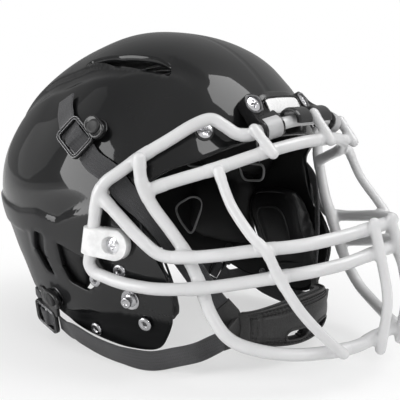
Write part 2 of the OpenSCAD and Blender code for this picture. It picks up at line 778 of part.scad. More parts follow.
// Webbing: the tail is threaded through a buckle, and the strap runs on from it to the cup
wrap_end = frame_rail - buckle_len / 2 + 0.6;
upper_tail_len = 34;
lower_tail_len = 13;
upper_tail_lean = 10;
lower_tail_lean = 4;
leave_len = 13;
leave_drop = 0.7;
over_bar = frame_bar_h + 0.9 + strap_t / 2;
function along_shell(d) = reach(d, strap_t / 2 + 1.2);
function tail_keys(d, turn, middle, reach_back, lean) = concat(
  [
    for (v = [
      [wrap_end, 0.1], [-frame_bar / 2 - 3.2, 1.7], [-frame_bar / 2 - 0.7, over_bar - 0.3], [0, over_bar],
      [frame_bar / 2 + 0.7, over_bar - 0.3], [frame_bar / 2 + 3.2, 1.5],
      [buckle_len / 2 - frame_rail, under_frame], [buckle_len / 2 + 2, under_frame]
    ])
      buckle_spot(d, turn, [middle.x, middle.y + v[0], v[1]])
  ],
  [
    for (s = [0.35, 0.65, 1])
      let (y = middle.y + buckle_len / 2 + reach_back * s)
        along_shell(buckle_spot(d, turn, [middle.x + lean * s * s, y, 0]))
  ]
);
function leave_keys(d, turn, middle) = [
  buckle_spot(d, turn, [middle.x - 1.1, middle.y + wrap_end - 2.6, under_frame - leave_drop]),
  buckle_spot(d, turn, [middle.x - 1.6, middle.y + wrap_end - leave_len, under_frame - leave_drop - 0.4])
];
upper_strap_keys = concat(leave_keys(upper_stud_at, upper_turn, upper_frame), [
  along_shell([-113.5, -52, 27]), along_shell([-111, -65, 14]),
  wide([-105.5, -79.5, 2.5]), wide([-98, -87.5, -10]), wide([-89, -94.5, -26]), [-78, -101.5, -45],
  [-67, -107, -63], [-56.4, -113, -77]
]);
lower_strap_keys = concat(leave_keys(lower_stud_at, lower_turn, lower_frame), [
  wide([-109.7, -8, -97.5]), wide([-107.5, -30, -103.4]), wide([-104.1, -53, -106.4]), wide([-98.5, -75, -106.6]),
  wide([-90, -92, -102]), [-84, -106, -97], [-75, -114, -92], [-66, -117, -90], [-54.6, -118.3, -90]
]);
function web_out(p) = unit(shell_normal(p) + (away(p) - [0, 0.5, 0]) * smooth((-p.y - 50) / 25));
module webbing(keys) {
  path = curve(keys, 3);
  color([0.16, 0.16, 0.165])
    sweep(path, web_section(strap_t, strap_w), [for (p = path) web_out(p)]);
}
module upper_strap_right() { webbing(upper_strap_keys); }
module upper_strap_left() { mirror([1, 0, 0]) upper_strap_right(); }
module lower_strap_right() { webbing(lower_strap_keys); }
module lower_strap_left() { mirror([1, 0, 0]) lower_strap_right(); }
module upper_tail_right() {
  webbing(tail_keys(upper_stud_at, upper_turn, upper_frame, upper_tail_len, upper_tail_lean));
}
module upper_tail_left() { mirror([1, 0, 0]) upper_tail_right(); }
module lower_tail_right() {
  webbing(tail_keys(lower_stud_at, lower_turn, lower_frame, lower_tail_len, lower_tail_lean));
}
module lower_tail_left() { mirror([1, 0, 0]) lower_tail_right(); }
module upper_buckle_right() {
  color([0.05, 0.05, 0.05]) buckle_at(upper_stud_at, upper_turn) buckle_frame(upper_frame);
}
module upper_buckle_left() { mirror([1, 0, 0]) upper_buckle_right(); }
module lower_buckle_right() {
  color([0.05, 0.05, 0.05]) buckle_at(lower_stud_at, lower_turn) buckle_frame(lower_frame);
}
module lower_buckle_left() { mirror([1, 0, 0]) lower_buckle_right(); }
module upper_snap_cap_right() {
  color([0.1, 0.1, 0.1]) buckle_at(upper_stud_at, upper_turn) snap_cap();
}
module upper_snap_cap_left() { mirror([1, 0, 0]) upper_snap_cap_right(); }
module lower_snap_cap_right() {
  color([0.1, 0.1, 0.1]) buckle_at(lower_stud_at, lower_turn) snap_cap();
}
module lower_snap_cap_left() { mirror([1, 0, 0]) lower_snap_cap_right(); }

shell();
front_bumper();
nameplate();
top_clip_right();
top_clip_left();
top_clip_screws();
top_clip_nuts();
side_clip_right();
side_clip_left();
side_clip_screws();
side_clip_nuts();
brow_screws();
brow_nuts();
guard_top_bar();
guard_brow_bar();
guard_upper_cross_bar();
guard_lower_cross_bar();
guard_chin_bar();
guard_long_upright_right();
guard_long_upright_left();
guard_centre_upright_right();
guard_centre_upright_left();
guard_brow_strut_right();
guard_brow_strut_centre();
guard_brow_strut_left();
upper_strap_studs();
lower_strap_studs();
spare_strap_studs();
jaw_rivets_right();
jaw_rivets_left();
front_pad();
crown_pad();
rear_pad();
side_pad_right();
side_pad_left();
jaw_pad_right();
jaw_pad_left();
chin_cup();
cup_lining();
upper_strap_right();
upper_strap_left();
lower_strap_right();
lower_strap_left();
upper_buckle_right();
upper_buckle_left();
lower_buckle_right();
lower_buckle_left();
upper_snap_cap_right();
upper_snap_cap_left();
lower_snap_cap_right();
lower_snap_cap_left();
upper_tail_right();
upper_tail_left();
lower_tail_right();
lower_tail_left();
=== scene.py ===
"""Dresses a packed football helmet: shell, face guard, fittings, straps, cup, pads and studio."""
import math

import bmesh
import bpy
import numpy as np
from bpy.props import FloatProperty, FloatVectorProperty, PointerProperty
from bpy.types import Operator, Panel, PropertyGroup
from mathutils import Matrix, Vector


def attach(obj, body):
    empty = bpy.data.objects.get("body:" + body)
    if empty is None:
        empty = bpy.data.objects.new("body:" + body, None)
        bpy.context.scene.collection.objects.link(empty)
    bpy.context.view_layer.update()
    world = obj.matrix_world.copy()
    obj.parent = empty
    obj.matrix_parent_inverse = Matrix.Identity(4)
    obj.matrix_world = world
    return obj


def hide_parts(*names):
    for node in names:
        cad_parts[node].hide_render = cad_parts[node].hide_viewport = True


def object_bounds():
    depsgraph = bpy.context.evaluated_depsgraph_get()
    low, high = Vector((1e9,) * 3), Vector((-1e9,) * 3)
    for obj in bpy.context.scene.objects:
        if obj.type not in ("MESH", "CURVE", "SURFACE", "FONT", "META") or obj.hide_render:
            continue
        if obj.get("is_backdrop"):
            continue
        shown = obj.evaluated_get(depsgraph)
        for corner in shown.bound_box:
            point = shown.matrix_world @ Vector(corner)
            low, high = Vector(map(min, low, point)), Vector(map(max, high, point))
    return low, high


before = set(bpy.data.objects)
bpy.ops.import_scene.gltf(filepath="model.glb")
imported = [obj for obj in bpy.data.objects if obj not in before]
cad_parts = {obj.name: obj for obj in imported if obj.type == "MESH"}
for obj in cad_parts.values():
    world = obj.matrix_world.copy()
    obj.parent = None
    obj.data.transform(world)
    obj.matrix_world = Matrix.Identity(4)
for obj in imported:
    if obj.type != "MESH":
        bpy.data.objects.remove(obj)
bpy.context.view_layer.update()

bl_info = {
    "name": "Football Helmet",
    "version": (1, 0, 0),
    "blender": (4, 5, 0),
    "location": "View3D > Sidebar > Helmet",
    "description": "Builds the visible pieces of a football helmet on its packed frame",
    "category": "Add Mesh",
}

MM = 0.001

# Sizes of the part's source, in millimetres
SHELL_HALF_W = 119.5
SHELL_FRONT = 128
SHELL_BACK = 155
SHELL_UP = 128
SHELL_DOWN = 190
JAW_REACH = 85
NAPE_TUCK = 20
SHELL_WALL = 4
PLAN_FRONT, PLAN_BACK = 2.2, 2.06
RISE_FRONT, RISE_BACK = 2.2, 1.77
BAR_R, UPRIGHT_R, STRUT_R, WELD = 4.4, 3.5, 3.5, 0.5
SHANK_R, HEAD_R, HEAD_H = 2.5, 5.5, 2.6
STUD_R, STUD_H, STUD_BASE_R = 4, 6.5, 7.5
STRAP_W, STRAP_T = 16, 1.8
BUCKLE_W, BUCKLE_LEN = 22.5, 28
FRAME_RAIL, FRAME_BAR, FRAME_BAR_H = 3, 3, 2.2
BUCKLE_LIFT = 2.4
SOCKET_BORE, SOCKET_R = STUD_R + 0.2, STUD_R + 2.4
SOCKET_H = STUD_H - BUCKLE_LIFT + 0.6
TAB_REACH, TAB_T, TAB_BELOW = 3.5, 2.6, 4.5
CUP_HALF_W, CUP_DEPTH, CUP_HALF_H, CUP_WALL = 54, 32, 17, 4
LINER_T, JAW_PAD_T, PAD_GAP = 24, 22, 0.4
TOP_CLIP_W, TOP_CLIP_LIFT, TOP_CLIP_T = 17, 2, 6
SIDE_CLIP_H, SIDE_CLIP_LIFT, SIDE_CLIP_GRIP = 24, 0.3, 18.5
CLIP_GAP, CLIP_WALL = 0.35, 3
BUMPER_HALF_W, BUMPER_HALF_H, BUMPER_T = 22, 13, 7

TOP_CLIP_AT = (-31, -110, 71.5)
BROW_SCREW_AT = (-67, -98, 56)
SIDE_SCREW_AT = (-116, -61, -21)
UPPER_STUD_AT = (-110, -35.3, 58.5)
LOWER_STUD_AT = (-111, 14, -75)
SPARE_STUD_AT = (-110, -67, -60)
BUMPER_AT, PLATE_AT = (0, -114, 70), (0, -119, 72.5)
JAW_RIVETS_AT = ((-113, -60, -40), (-115, -37, -50), (-105, -76, -77), (-106, -28, -90))
SHELL_POLE = (0, 0.62, 0.785)
EDGE_AIMS = (
    (0, -125, 53), (-38, -116, 49), (-74, -100, 38), (-91, -86, 31), (-101, -75, 20), (-106, -74, 4),
    (-108, -78, -14), (-107, -88, -28), (-104, -97, -44), (-102, -99, -62), (-100, -94, -80), (-98, -82, -95),
    (-101, -60, -99), (-104, -34, -97.5), (-105, -8, -94), (-104, 18, -86), (-98, 45, -80), (-84, 71, -77),
    (-62, 95, -76), (-32, 112, -75), (0, 118, -75),
)
EAR_VENT = ((2, -27), (-26, -34), (-36, -46), (-38, -54), (-28, -61), (-8, -57), (-1, -46))
REAR_VENT = ((30, -22), (16, -24), (19, -38), (9, -56), (22, -54), (35, -37))
CROWN_VENT = (
    (-67.5, 19.3), (-74.2, -17.3), (-73.1, -38.4), (-66.2, -65.7), (-56.4, -60.2), (-63.3, -36.4),
    (-66.1, -17.2), (-62.6, 18.8),
)
# each vent's outline with the axis that it is cut along
VENTS = ((EAR_VENT, 0), (REAR_VENT, 0), (CROWN_VENT, 2))
VENT_CORNER_R = 3.5
RIM_STEPS, RIM_BULGE = 5, 1.1
HALVINGS = 40
# rungs of a vent's rolled edge: how far into the vent and how far through the wall
VENT_RUNGS = ((0.4, 0.05), (0.7, 0.2), (0.7, 0.85))


# ---- small geometry helpers; points are in millimetres until a piece is made


def unit(v):
    v = np.asarray(v, float)
    return v / np.linalg.norm(v, axis=-1, keepdims=True)


def smooth(t):
    t = np.clip(t, 0, 1)
    return t * t * (3 - 2 * t)


def flip(points):
    return np.asarray(points, float) * (-1, 1, 1)


def reach(aim, out=0.0):
    """Point of the shell's outer face, grown by out, in the direction of aim."""
    u = unit(aim)
    tilt = np.degrees(np.arcsin(u[..., 2]))
    front = SHELL_FRONT + JAW_REACH * smooth((14 - tilt) / 40)
    back = SHELL_BACK - NAPE_TUCK * smooth((-tilt - 2) / 28)
    rearward = smooth((u[..., 1] + 0.35) / 0.7)
    n = PLAN_FRONT + (PLAN_BACK - PLAN_FRONT) * rearward
    m = RISE_FRONT + (RISE_BACK - RISE_FRONT) * rearward
    depth = np.where(u[..., 1] < 0, front, back) + out
    plan = (np.abs(u[..., 0]) / (SHELL_HALF_W + out)) ** n + (np.abs(u[..., 1]) / depth) ** n
    rise = np.abs(u[..., 2]) / (np.where(u[..., 2] > 0, SHELL_UP, SHELL_DOWN) + out)
    return u / ((plan ** (m / n) + rise**m) ** (1 / m))[..., None]


def shell_normal(aim):
    u = unit(aim)
    side = unit(np.cross((0, 0, 1), u + (0.001, 0, 0)))
    rise = unit(np.cross(u, side))
    p = reach(aim)
    a, b = side * 4, rise * 4
    return unit(np.cross(reach(p + a) - reach(p - a), reach(p + b) - reach(p - b)))


def wall_at(aim):
    return float(np.dot(reach(aim) - reach(aim, -SHELL_WALL), shell_normal(aim)))


def seat(aim, out=0.0, turn=0.0):
    """Origin and axes of a fitting on the shell, with its third axis along the outward normal."""
    n = shell_normal(aim)
    tilt, spin = math.acos(n[2]), math.atan2(n[1], n[0])
    ex = np.array((math.cos(tilt) * math.cos(spin), math.cos(tilt) * math.sin(spin), -math.sin(tilt)))
    ey = np.array((-math.sin(spin), math.cos(spin), 0))
    c, s = math.cos(math.radians(turn)), math.sin(math.radians(turn))
    return reach(aim) + n * out, np.array((c * ex + s * ey, c * ey - s * ex, n))


def place(points, at):
    origin, axes = at
    return origin + np.asarray(points, float) @ axes


def curve(keys, steps):
    """Smooth curve through key points, with steps points to each span."""
    keys = np.asarray(keys, float)
    last = len(keys) - 1
    t = np.arange(steps)[:, None] / steps
    spans = []
    for i in range(last):
        a, b, c, d = keys[max(i - 1, 0)], keys[i], keys[i + 1], keys[min(i + 2, last)]
        spans.append(
            0.5 * (2 * b + (c - a) * t + (2 * a - 5 * b + 4 * c - d) * t**2 + (3 * b - a - 3 * c + d) * t**3)
        )
    return np.concatenate(spans + [keys[-1:]])


def turns(count):
    """Angles of that many equal steps round a circle."""
    return np.arange(count) * 2 * math.pi / count


def run_along(path):
    """Distance from a path's start to each of its points."""
    return np.concatenate(([0], np.cumsum(np.linalg.norm(np.diff(path, axis=0), axis=1))))


def looped(path):
    """A closed path carried on over its own start, so that a tube along it leaves no gap."""
    return np.concatenate((path, path[:2]))


def headings(path):
    ahead = np.concatenate((path[1:], path[-1:]))
    behind = np.concatenate((path[:1], path[:-1]))
    return unit(ahead - behind)


def away(points):
    points = np.asarray(points, float)
    return unit(points * (1, 1, 0) + (0.01, 0, 0))


def band_faces(rings, sides, closed=True):
    """Quads between successive rings of points."""
    faces = []
    for i in range(rings - 1):
        for j in range(sides if closed else sides - 1):
            a, b = i * sides + j, i * sides + (j + 1) % sides
            faces.append((a, b, b + sides, a + sides))
    return faces


def loft(rings, capped=True):
    """Points and faces of a surface through closed rings of the same number of points."""
    sides = len(rings[0])
    faces = band_faces(len(rings), sides)
    if capped:
        faces.append(tuple(range(sides)))
        faces.append(tuple(range((len(rings) - 1) * sides, len(rings) * sides)))
    return np.concatenate(rings), faces


def joined(*parts):
    """One list of points and faces from several."""
    points, faces, start = [], [], 0
    for p, f in parts:
        points.append(np.asarray(p, float))
        faces += [tuple(i + start for i in face) for face in f]
        start += len(p)
    return np.concatenate(points), faces


def paired(parts):
    """Points and faces together with their mirror image."""
    return joined(parts, (flip(parts[0]), parts[1]))


def placed(parts, at, turned=lambda p: p):
    """Points and faces put at a place and turned to their side."""
    return turned(place(parts[0], at)), parts[1]


def tube(path, radius, sides, rounding=0.0):
    """A round bar along a path; rounding is how far its ends are drawn in."""
    path = np.asarray(path, float)
    t = headings(path)
    v = unit(np.cross(t[0], (0.31, 0.17, 0.93)))
    angles = turns(sides)
    rings = []
    for p, h in zip(path, t):
        v = unit(v - h * np.dot(v, h))
        w = np.cross(h, v)
        rings.append(p + radius * (np.cos(angles)[:, None] * v + np.sin(angles)[:, None] * w))
    if rounding:
        first, last = rings[0].copy(), rings[-1].copy()
        steps = ((0.45, 1), (0.85, 0.6))
        near = [path[0] + (first - path[0]) * s - t[0] * rounding * c for s, c in steps]
        far = [path[-1] + (last - path[-1]) * s + t[-1] * rounding * c for s, c in steps[::-1]]
        rings = near + rings + far
    return loft(rings)


def lathe(profile, sides=40):
    """A turned form about the third axis, from pairs of radius and height."""
    angles = turns(sides)
    round_plan = np.column_stack((np.cos(angles), np.sin(angles)))
    return loft([raised(r * round_plan, h) for r, h in profile])


def rounded_outline(corners, radius, steps=5):
    """Closed outline with each corner replaced by a short curve."""
    corners = np.asarray(corners, float)
    out = []
    for i, b in enumerate(corners):
        a, c = corners[i - 1], corners[(i + 1) % len(corners)]
        ra = min(radius, 0.45 * np.linalg.norm(a - b))
        rc = min(radius, 0.45 * np.linalg.norm(c - b))
        p, q = b + unit(a - b) * ra, b + unit(c - b) * rc
        for k in range(steps + 1):
            t = k / steps
            out.append((1 - t) ** 2 * p + 2 * t * (1 - t) * b + t**2 * q)
    return np.array(out)


def box_outline(w, length, radius, steps=5):
    x, y = w / 2, length / 2
    return rounded_outline(((-x, -y), (x, -y), (x, y), (-x, y)), radius, steps)


def stadium(radius, half, count=40):
    """Outline of a slot, long in y."""
    angles = turns(count)
    y = radius * np.sin(angles)
    return np.stack((radius * np.cos(angles), y + np.where(y > 0, half, -half)), 1)


def raised(outline, height):
    return np.column_stack((outline, np.full(len(outline), float(height))))


def shrunk(outline, by):
    """An outline drawn in by a distance, by moving each point along its own inward normal."""
    ahead, behind = np.roll(outline, -1, 0), np.roll(outline, 1, 0)
    t = unit(ahead - behind)
    return outline + np.column_stack((-t[:, 1], t[:, 0])) * by


def pillow_plate(outline, low, high, edge):
    """A plate with rounded edges between two heights."""
    return loft([
        raised(shrunk(outline, edge), low),
        raised(shrunk(outline, edge * 0.3), low + edge * 0.3),
        raised(outline, low + edge),
        raised(outline, high - edge),
        raised(shrunk(outline, edge * 0.3), high - edge * 0.3),
        raised(shrunk(outline, edge), high),
    ])


def ring_plate(outer, inner, section):
    """A frame between two outlines; section gives how far in and how high each loop lies."""
    rings = [raised(outer + (inner - outer) * s, z) for s, z in section]
    return loft(rings + [rings[0]], capped=False)


# ---- making pieces


def mesh_of(name, parts):
    points, faces = parts
    mesh = bpy.data.meshes.new(name)
    mesh.from_pydata((np.asarray(points, float) * MM).tolist(), [], faces)
    return mesh


def linked(name, data):
    obj = bpy.data.objects.new(name, data)
    bpy.context.scene.collection.objects.link(obj)
    return obj


def scratch(name, parts):
    """An object that other pieces are made from and that doesn't stay."""
    mesh = mesh_of(name, parts)
    tidy_mesh(mesh)
    return linked(name, mesh)


def discard(obj):
    mesh = obj.data
    bpy.data.objects.remove(obj)
    bpy.data.meshes.remove(mesh)


def points_of(mesh):
    """A mesh's points, one to a row, in metres."""
    points = np.empty(len(mesh.vertices) * 3)
    mesh.vertices.foreach_get("co", points)
    return points.reshape(-1, 3)


def faces_of(mesh):
    return [tuple(p.vertices) for p in mesh.polygons]


def make_piece(name, parts, finish, body="helmet", stands_for=(), uv=None, angle=None):
    """Turns points and faces in millimetres into a piece that rides on a body."""
    mesh = mesh_of(name, parts)
    if uv is not None:
        layer = mesh.uv_layers.new(name="weave")
        index = np.empty(len(mesh.loops), int)
        mesh.loops.foreach_get("vertex_index", index)
        layer.data.foreach_set("uv", np.asarray(uv, float)[index].ravel())
    tidy_mesh(mesh)
    for one in finish if isinstance(finish, (list, tuple)) else [finish]:
        mesh.materials.append(one)
    obj = linked(name, mesh)
    shade(mesh, angle)
    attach(obj, body)
    if stands_for:
        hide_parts(*stands_for)
    return obj


def tidy_mesh(mesh):
    """Joins doubled points and turns every face outwards."""
    work = bmesh.new()
    work.from_mesh(mesh)
    bmesh.ops.remove_doubles(work, verts=work.verts, dist=1e-6)
    bmesh.ops.recalc_face_normals(work, faces=work.faces)
    work.to_mesh(mesh)
    work.free()


def shade(mesh, angle=None):
    mesh.polygons.foreach_set("use_smooth", [True] * len(mesh.polygons))
    if angle is not None:
        mesh.set_sharp_from_angle(angle=math.radians(angle))
    mesh.update()


def settle(obj, *modifiers):
    """Applies modifiers, given as a type and its settings, to an object's mesh."""
    for kind, settings in modifiers:
        modifier = obj.modifiers.new(kind.lower(), kind)
        for key, value in settings.items():
            setattr(modifier, key, value)
    graph = bpy.context.evaluated_depsgraph_get()
    made = bpy.data.meshes.new_from_object(obj.evaluated_get(graph))
    obj.modifiers.clear()
    old = obj.data
    obj.data = made
    bpy.data.meshes.remove(old)
    return obj


def both(build):
    """Runs build for the wearer's right and left; the function it is given mirrors points."""
    for side, turned in (("right", lambda p: np.asarray(p, float)), ("left", flip)):
        build(side, turned)


# ---- finishes


class Field:
    """A value that varies over a surface, wrapped so that expressions add nodes."""

    def __init__(self, finish, socket):
        self.finish, self.socket = finish, socket

    def _math(self, operation, *values):
        return self.finish.add("ShaderNodeMath", {"operation": operation}, dict(enumerate(values)))

    def __add__(self, other):
        return self._math("ADD", self, other)

    def __sub__(self, other):
        return self._math("SUBTRACT", self, other)

    def __rsub__(self, other):
        return self._math("SUBTRACT", other, self)

    def __mul__(self, other):
        return self._math("MULTIPLY", self, other)

    def __pow__(self, other):
        return self._math("POWER", self, other)

    __radd__ = __add__
    __rmul__ = __mul__

    def wave(self):
        return self._math("SINE", self)

    def size(self):
        return self._math("ABSOLUTE", self)

    def most(self, other):
        return self._math("MAXIMUM", self, other)

    def ramp(self, low, high):
        """0 below low, 1 above high, smooth between."""
        return self.finish.add(
            "ShaderNodeMapRange",
            {"interpolation_type": "SMOOTHSTEP"},
            {"Value": self, "From Min": low, "From Max": high},
        )


class Nodes:
    """A node tree being made: one method adds any node and feeds its inputs."""

    def __init__(self, owner):
        owner.use_nodes = True
        self.tree = owner.node_tree
        self.tree.nodes.clear()

    def feed(self, socket, value):
        if isinstance(value, Field):
            self.tree.links.new(value.socket, socket)
        else:
            if socket.type == "RGBA" and len(value) == 3:
                value = (*value, 1)
            socket.default_value = value

    def add(self, kind, settings=None, inputs=None, out=0):
        node = self.tree.nodes.new(kind)
        for key, value in (settings or {}).items():
            setattr(node, key, value)
        for key, value in (inputs or {}).items():
            self.feed(node.inputs[key], value)
        return Field(self, node.outputs[out])

    def output(self, kind, surface):
        self.feed(self.tree.nodes.new(kind).inputs["Surface"], surface)

    def split(self, vector, axis):
        return self.add("ShaderNodeSeparateXYZ", inputs={0: vector}, out=axis)

    def ray(self, kind):
        """1 for rays of a kind, such as Camera, and 0 for others."""
        return self.add("ShaderNodeLightPath", out=f"Is {kind} Ray")

    def blended(self, factor, first, second):
        return self.add("ShaderNodeMixShader", inputs={0: factor, 1: first, 2: second})


class Finish(Nodes):
    """A material being made; its methods name the usual nodes."""

    def __init__(self, name, **constants):
        self.material = bpy.data.materials.new(name)
        super().__init__(self.material)
        self.shader = self.tree.nodes.new("ShaderNodeBsdfPrincipled")
        self.output("ShaderNodeOutputMaterial", Field(self, self.shader.outputs["BSDF"]))
        self.set(**constants)

    def set(self, **values):
        """Feeds the shader's sockets; an underscore in a name stands for a space."""
        for key, value in values.items():
            self.feed(self.shader.inputs[key.replace("_", " ")], value)
        return self

    def place(self, axis=None):
        """Where a point is in the object's own frame, whole or along one axis."""
        spot = self.add("ShaderNodeTexCoord", out="Object")
        return spot if axis is None else self.split(spot, axis)

    def along(self, axis):
        return self.split(self.add("ShaderNodeTexCoord", out="UV"), axis)

    def noise(self, scale, detail=2.0, roughness=0.5):
        inputs = {"Vector": self.place(), "Scale": scale, "Detail": detail, "Roughness": roughness}
        return self.add("ShaderNodeTexNoise", inputs=inputs)

    def cells(self, scale, feature="F1"):
        inputs = {"Vector": self.place(), "Scale": scale}
        return self.add("ShaderNodeTexVoronoi", {"feature": feature}, inputs)

    def mixed(self, factor, first, second):
        return self.add("ShaderNodeMix", {"data_type": "RGBA"}, {0: factor, 6: first, 7: second}, out=2)

    def bump(self, height):
        """Raises the surface by a height in metres."""
        inputs = {"Height": height, "Strength": 1.0, "Distance": 1.0}
        return self.set(Normal=self.add("ShaderNodeBump", inputs=inputs))


def tinted(colour, factor):
    return tuple(min(1.0, c * factor) for c in colour)


def finish_shell(name, look):
    """Polished coat over a dark base; the shell's UV layer holds the coat's strength and the base's tone,
    which lightens the base toward painted light on the belt.
    """
    f = Finish(name, Specular_IOR_Level=0.05, Coat_Roughness=0.035, Coat_IOR=1.5)
    gloss, tone = f.along(0), f.along(1)
    haze = f.noise(14, 3)
    scuff = f.noise(220, 4, 0.7).ramp(0.62, 0.8) * f.noise(9, 2).ramp(0.45, 0.7)
    f.set(Roughness=0.3 + haze * 0.1)
    f.set(Coat_Weight=gloss * look.gloss * (1 - scuff * 0.25))
    colour = tuple(look.colour)
    worn = f.mixed(haze.ramp(0.3, 0.8), tinted(colour, 0.85), tinted(colour, 1.2))
    # painted light: where the tone is high the base is mixed toward the belt's lighter colour, standing in for
    # the brighter reflection there
    f.set(Base_Color=f.mixed(tone, worn, tuple(look.painted_light)))
    return f.bump(f.noise(160, 2) * 0.000012).material


def finish_lining(name, colour):
    f = Finish(name, Specular_IOR_Level=0.3)
    grain = f.noise(600, 3)
    f.set(Roughness=0.55 + grain * 0.2)
    f.set(Base_Color=f.mixed(f.noise(30, 3), tinted(colour, 0.7), tinted(colour, 1.25)))
    return f.bump(grain * 0.00012).material


def finish_coating(name, colour):
    f = Finish(name, Specular_IOR_Level=0.5, Coat_Weight=0.5, Coat_Roughness=0.12)
    cloud = f.noise(26, 4)
    speck = f.noise(900, 2)
    f.set(Roughness=0.3 + cloud * 0.12)
    # painted shade: the coating's colour is darkened on faces that point downward
    under = (-1 * f.split(f.add("ShaderNodeNewGeometry", out="Normal"), 2)).ramp(0.1, 1.0)
    tone = f.mixed(cloud.ramp(0.35, 0.75), tinted(colour, 0.95), tinted(colour, 1.03))
    f.set(Base_Color=f.mixed(under * 0.25, tone, tinted(colour, 0.72)))
    return f.bump(speck * 0.00006 + f.noise(240, 2) * 0.00008).material


def finish_metal(name, colour, roughness=0.12, brushed=0.0):
    f = Finish(name, Metallic=1.0)
    smear = f.noise(180, 3)
    fine = f.noise(2200, 2)
    f.set(Roughness=roughness + smear * 0.1)
    f.set(Base_Color=f.mixed(smear.ramp(0.3, 0.7), tinted(colour, 0.86), colour))
    return f.bump(fine * (0.000008 + brushed)).material


def finish_moulded(name, colour, roughness=0.22, grain=0.00003, scale=900, worn=1.15, dull=0.85):
    f = Finish(name, Specular_IOR_Level=0.5)
    cloud = f.noise(70, 3)
    fine = f.noise(scale, 3)
    f.set(Roughness=roughness + cloud * 0.1 + fine * 0.05)
    f.set(Base_Color=f.mixed(cloud.ramp(0.3, 0.75), tinted(colour, dull), tinted(colour, worn)))
    return f.bump(fine * grain).material


def finish_clear_white(name, colour):
    f = Finish(name, Specular_IOR_Level=0.6, Coat_Weight=0.4, Coat_Roughness=0.12)
    cloud = f.noise(160, 3)
    streak = f.noise(60, 2)
    f.set(Roughness=0.25 + cloud * 0.15)
    f.set(Base_Color=f.mixed((cloud * 0.6 + streak * 0.4).ramp(0.38, 0.62), tinted(colour, 0.84), colour))
    return f.bump(cloud * 0.00035).material


def finish_webbing(name, colour, pitch=0.14):
    """Woven webbing: u runs along it and v across, both in centimetres."""
    f = Finish(name, Specular_IOR_Level=0.25, Sheen_Weight=0.15, Sheen_Roughness=0.5)
    u, v = f.along(0), f.along(1)
    turn = 2 * math.pi / pitch
    chevron = (v * (2 * math.pi / 0.5)).wave().size() * 0.22
    rib = ((u + chevron) * turn).wave()
    thread = (v * (2 * math.pi / 0.09)).wave()
    weave = rib * 0.6 + rib * thread * 0.4
    fuzz = f.noise(500, 4)
    edge = v.size().ramp(0.68, 0.76)
    f.set(Roughness=0.72 + fuzz * 0.2)
    tone = f.mixed(weave.ramp(-0.8, 0.9), tinted(colour, 0.55), tinted(colour, 1.3))
    faded = f.mixed(f.noise(35, 3).ramp(0.45, 0.8) * 0.5, tone, tinted(colour, 1.5))
    f.set(Base_Color=f.mixed(edge * 0.5, faded, tinted(colour, 1.25)))
    return f.bump(weave * 0.00022 + fuzz * 0.00008).material


def finish_leather(name, colour, scale=520):
    f = Finish(name, Specular_IOR_Level=0.45, Coat_Weight=0.25, Coat_Roughness=0.3)
    pebble = f.cells(scale, "DISTANCE_TO_EDGE").ramp(0.0, 0.18)
    crease = f.noise(60, 5, 0.65)
    f.set(Roughness=0.42 + crease * 0.2 - pebble * 0.06)
    tone = f.mixed(pebble, tinted(colour, 0.55), colour)
    f.set(Base_Color=f.mixed(crease.ramp(0.5, 0.75) * 0.6, tone, tinted(colour, 1.9)))
    return f.bump(pebble * 0.00012 + crease * 0.0006).material


def finish_vinyl(name, colour, scale=800, roughness=0.44):
    f = Finish(name, Specular_IOR_Level=0.4)
    grain = f.cells(scale, "DISTANCE_TO_EDGE").ramp(0.0, 0.25)
    soft = f.noise(22, 4)
    f.set(Roughness=roughness + soft * 0.22)
    f.set(Base_Color=f.mixed(soft.ramp(0.35, 0.75), tinted(colour, 0.75), tinted(colour, 1.35)))
    return f.bump(grain * 0.00007 + soft * 0.0006).material


def finish_knit(name, colour):
    f = Finish(name, Specular_IOR_Level=0.2, Sheen_Weight=0.2)
    loops = f.cells(900)
    fuzz = f.noise(700, 4)
    f.set(Roughness=0.85 + fuzz * 0.1)
    f.set(Base_Color=f.mixed(loops.ramp(0.1, 0.6), tinted(colour, 1.3), tinted(colour, 0.6)))
    return f.bump(fuzz * 0.0002 - loops * 0.0003).material


def finish_thread(name, colour):
    f = Finish(name, Specular_IOR_Level=0.3)
    twist = ((f.place(0) + f.place(1) + f.place(2)) * (2 * math.pi / 0.0009)).wave()
    f.set(Roughness=0.6 + twist * 0.1)
    f.set(Base_Color=f.mixed(twist.ramp(-1, 1), tinted(colour, 0.7), tinted(colour, 1.2)))
    return f.bump(twist * 0.00006).material


# ---- settings


def colour_setting(name, description, default):
    return FloatVectorProperty(
        name=name, description=description, subtype="COLOR", size=3, min=0, max=1, default=default
    )


def length_setting(name, description, default):
    return FloatProperty(
        name=name, description=description, default=default, unit="LENGTH", subtype="DISTANCE"
    )


class HelmetShellLook(PropertyGroup):
    colour: colour_setting("Colour", "Colour of the shell", (0.006, 0.0062, 0.0066))
    # painted light: the belt's lighter base colour stands in for the brighter reflection on the belt; its
    # weaker coat is a satin finish
    painted_light: colour_setting("Painted_light colour", "Colour of the satin belt behind the ears", (0.022, 0.022, 0.023))
    gloss: FloatProperty(
        name="Gloss", description="Strength of the shell's reflections", default=0.72, min=0, max=1,
        subtype="FACTOR",
    )
    band: length_setting("Crown band", "Height of the step along the crown's ridge", 0.0016)
    trough: length_setting("Crown trough", "Depth of the trough beside the crown band", 0.0016)
    belt: length_setting("Belt", "Height of the step along the belt over the ears", 0.0018)
    groove: length_setting("Jaw groove", "Depth of the groove along the jaw flap", 0.0018)


class HelmetGuardLook(PropertyGroup):
    colour: colour_setting("Coating", "Colour of the guard's coating", (0.64, 0.64, 0.645))
    fillet: length_setting("Weld fillet", "How far a weld's fillet stands over its bars", 0.0004)


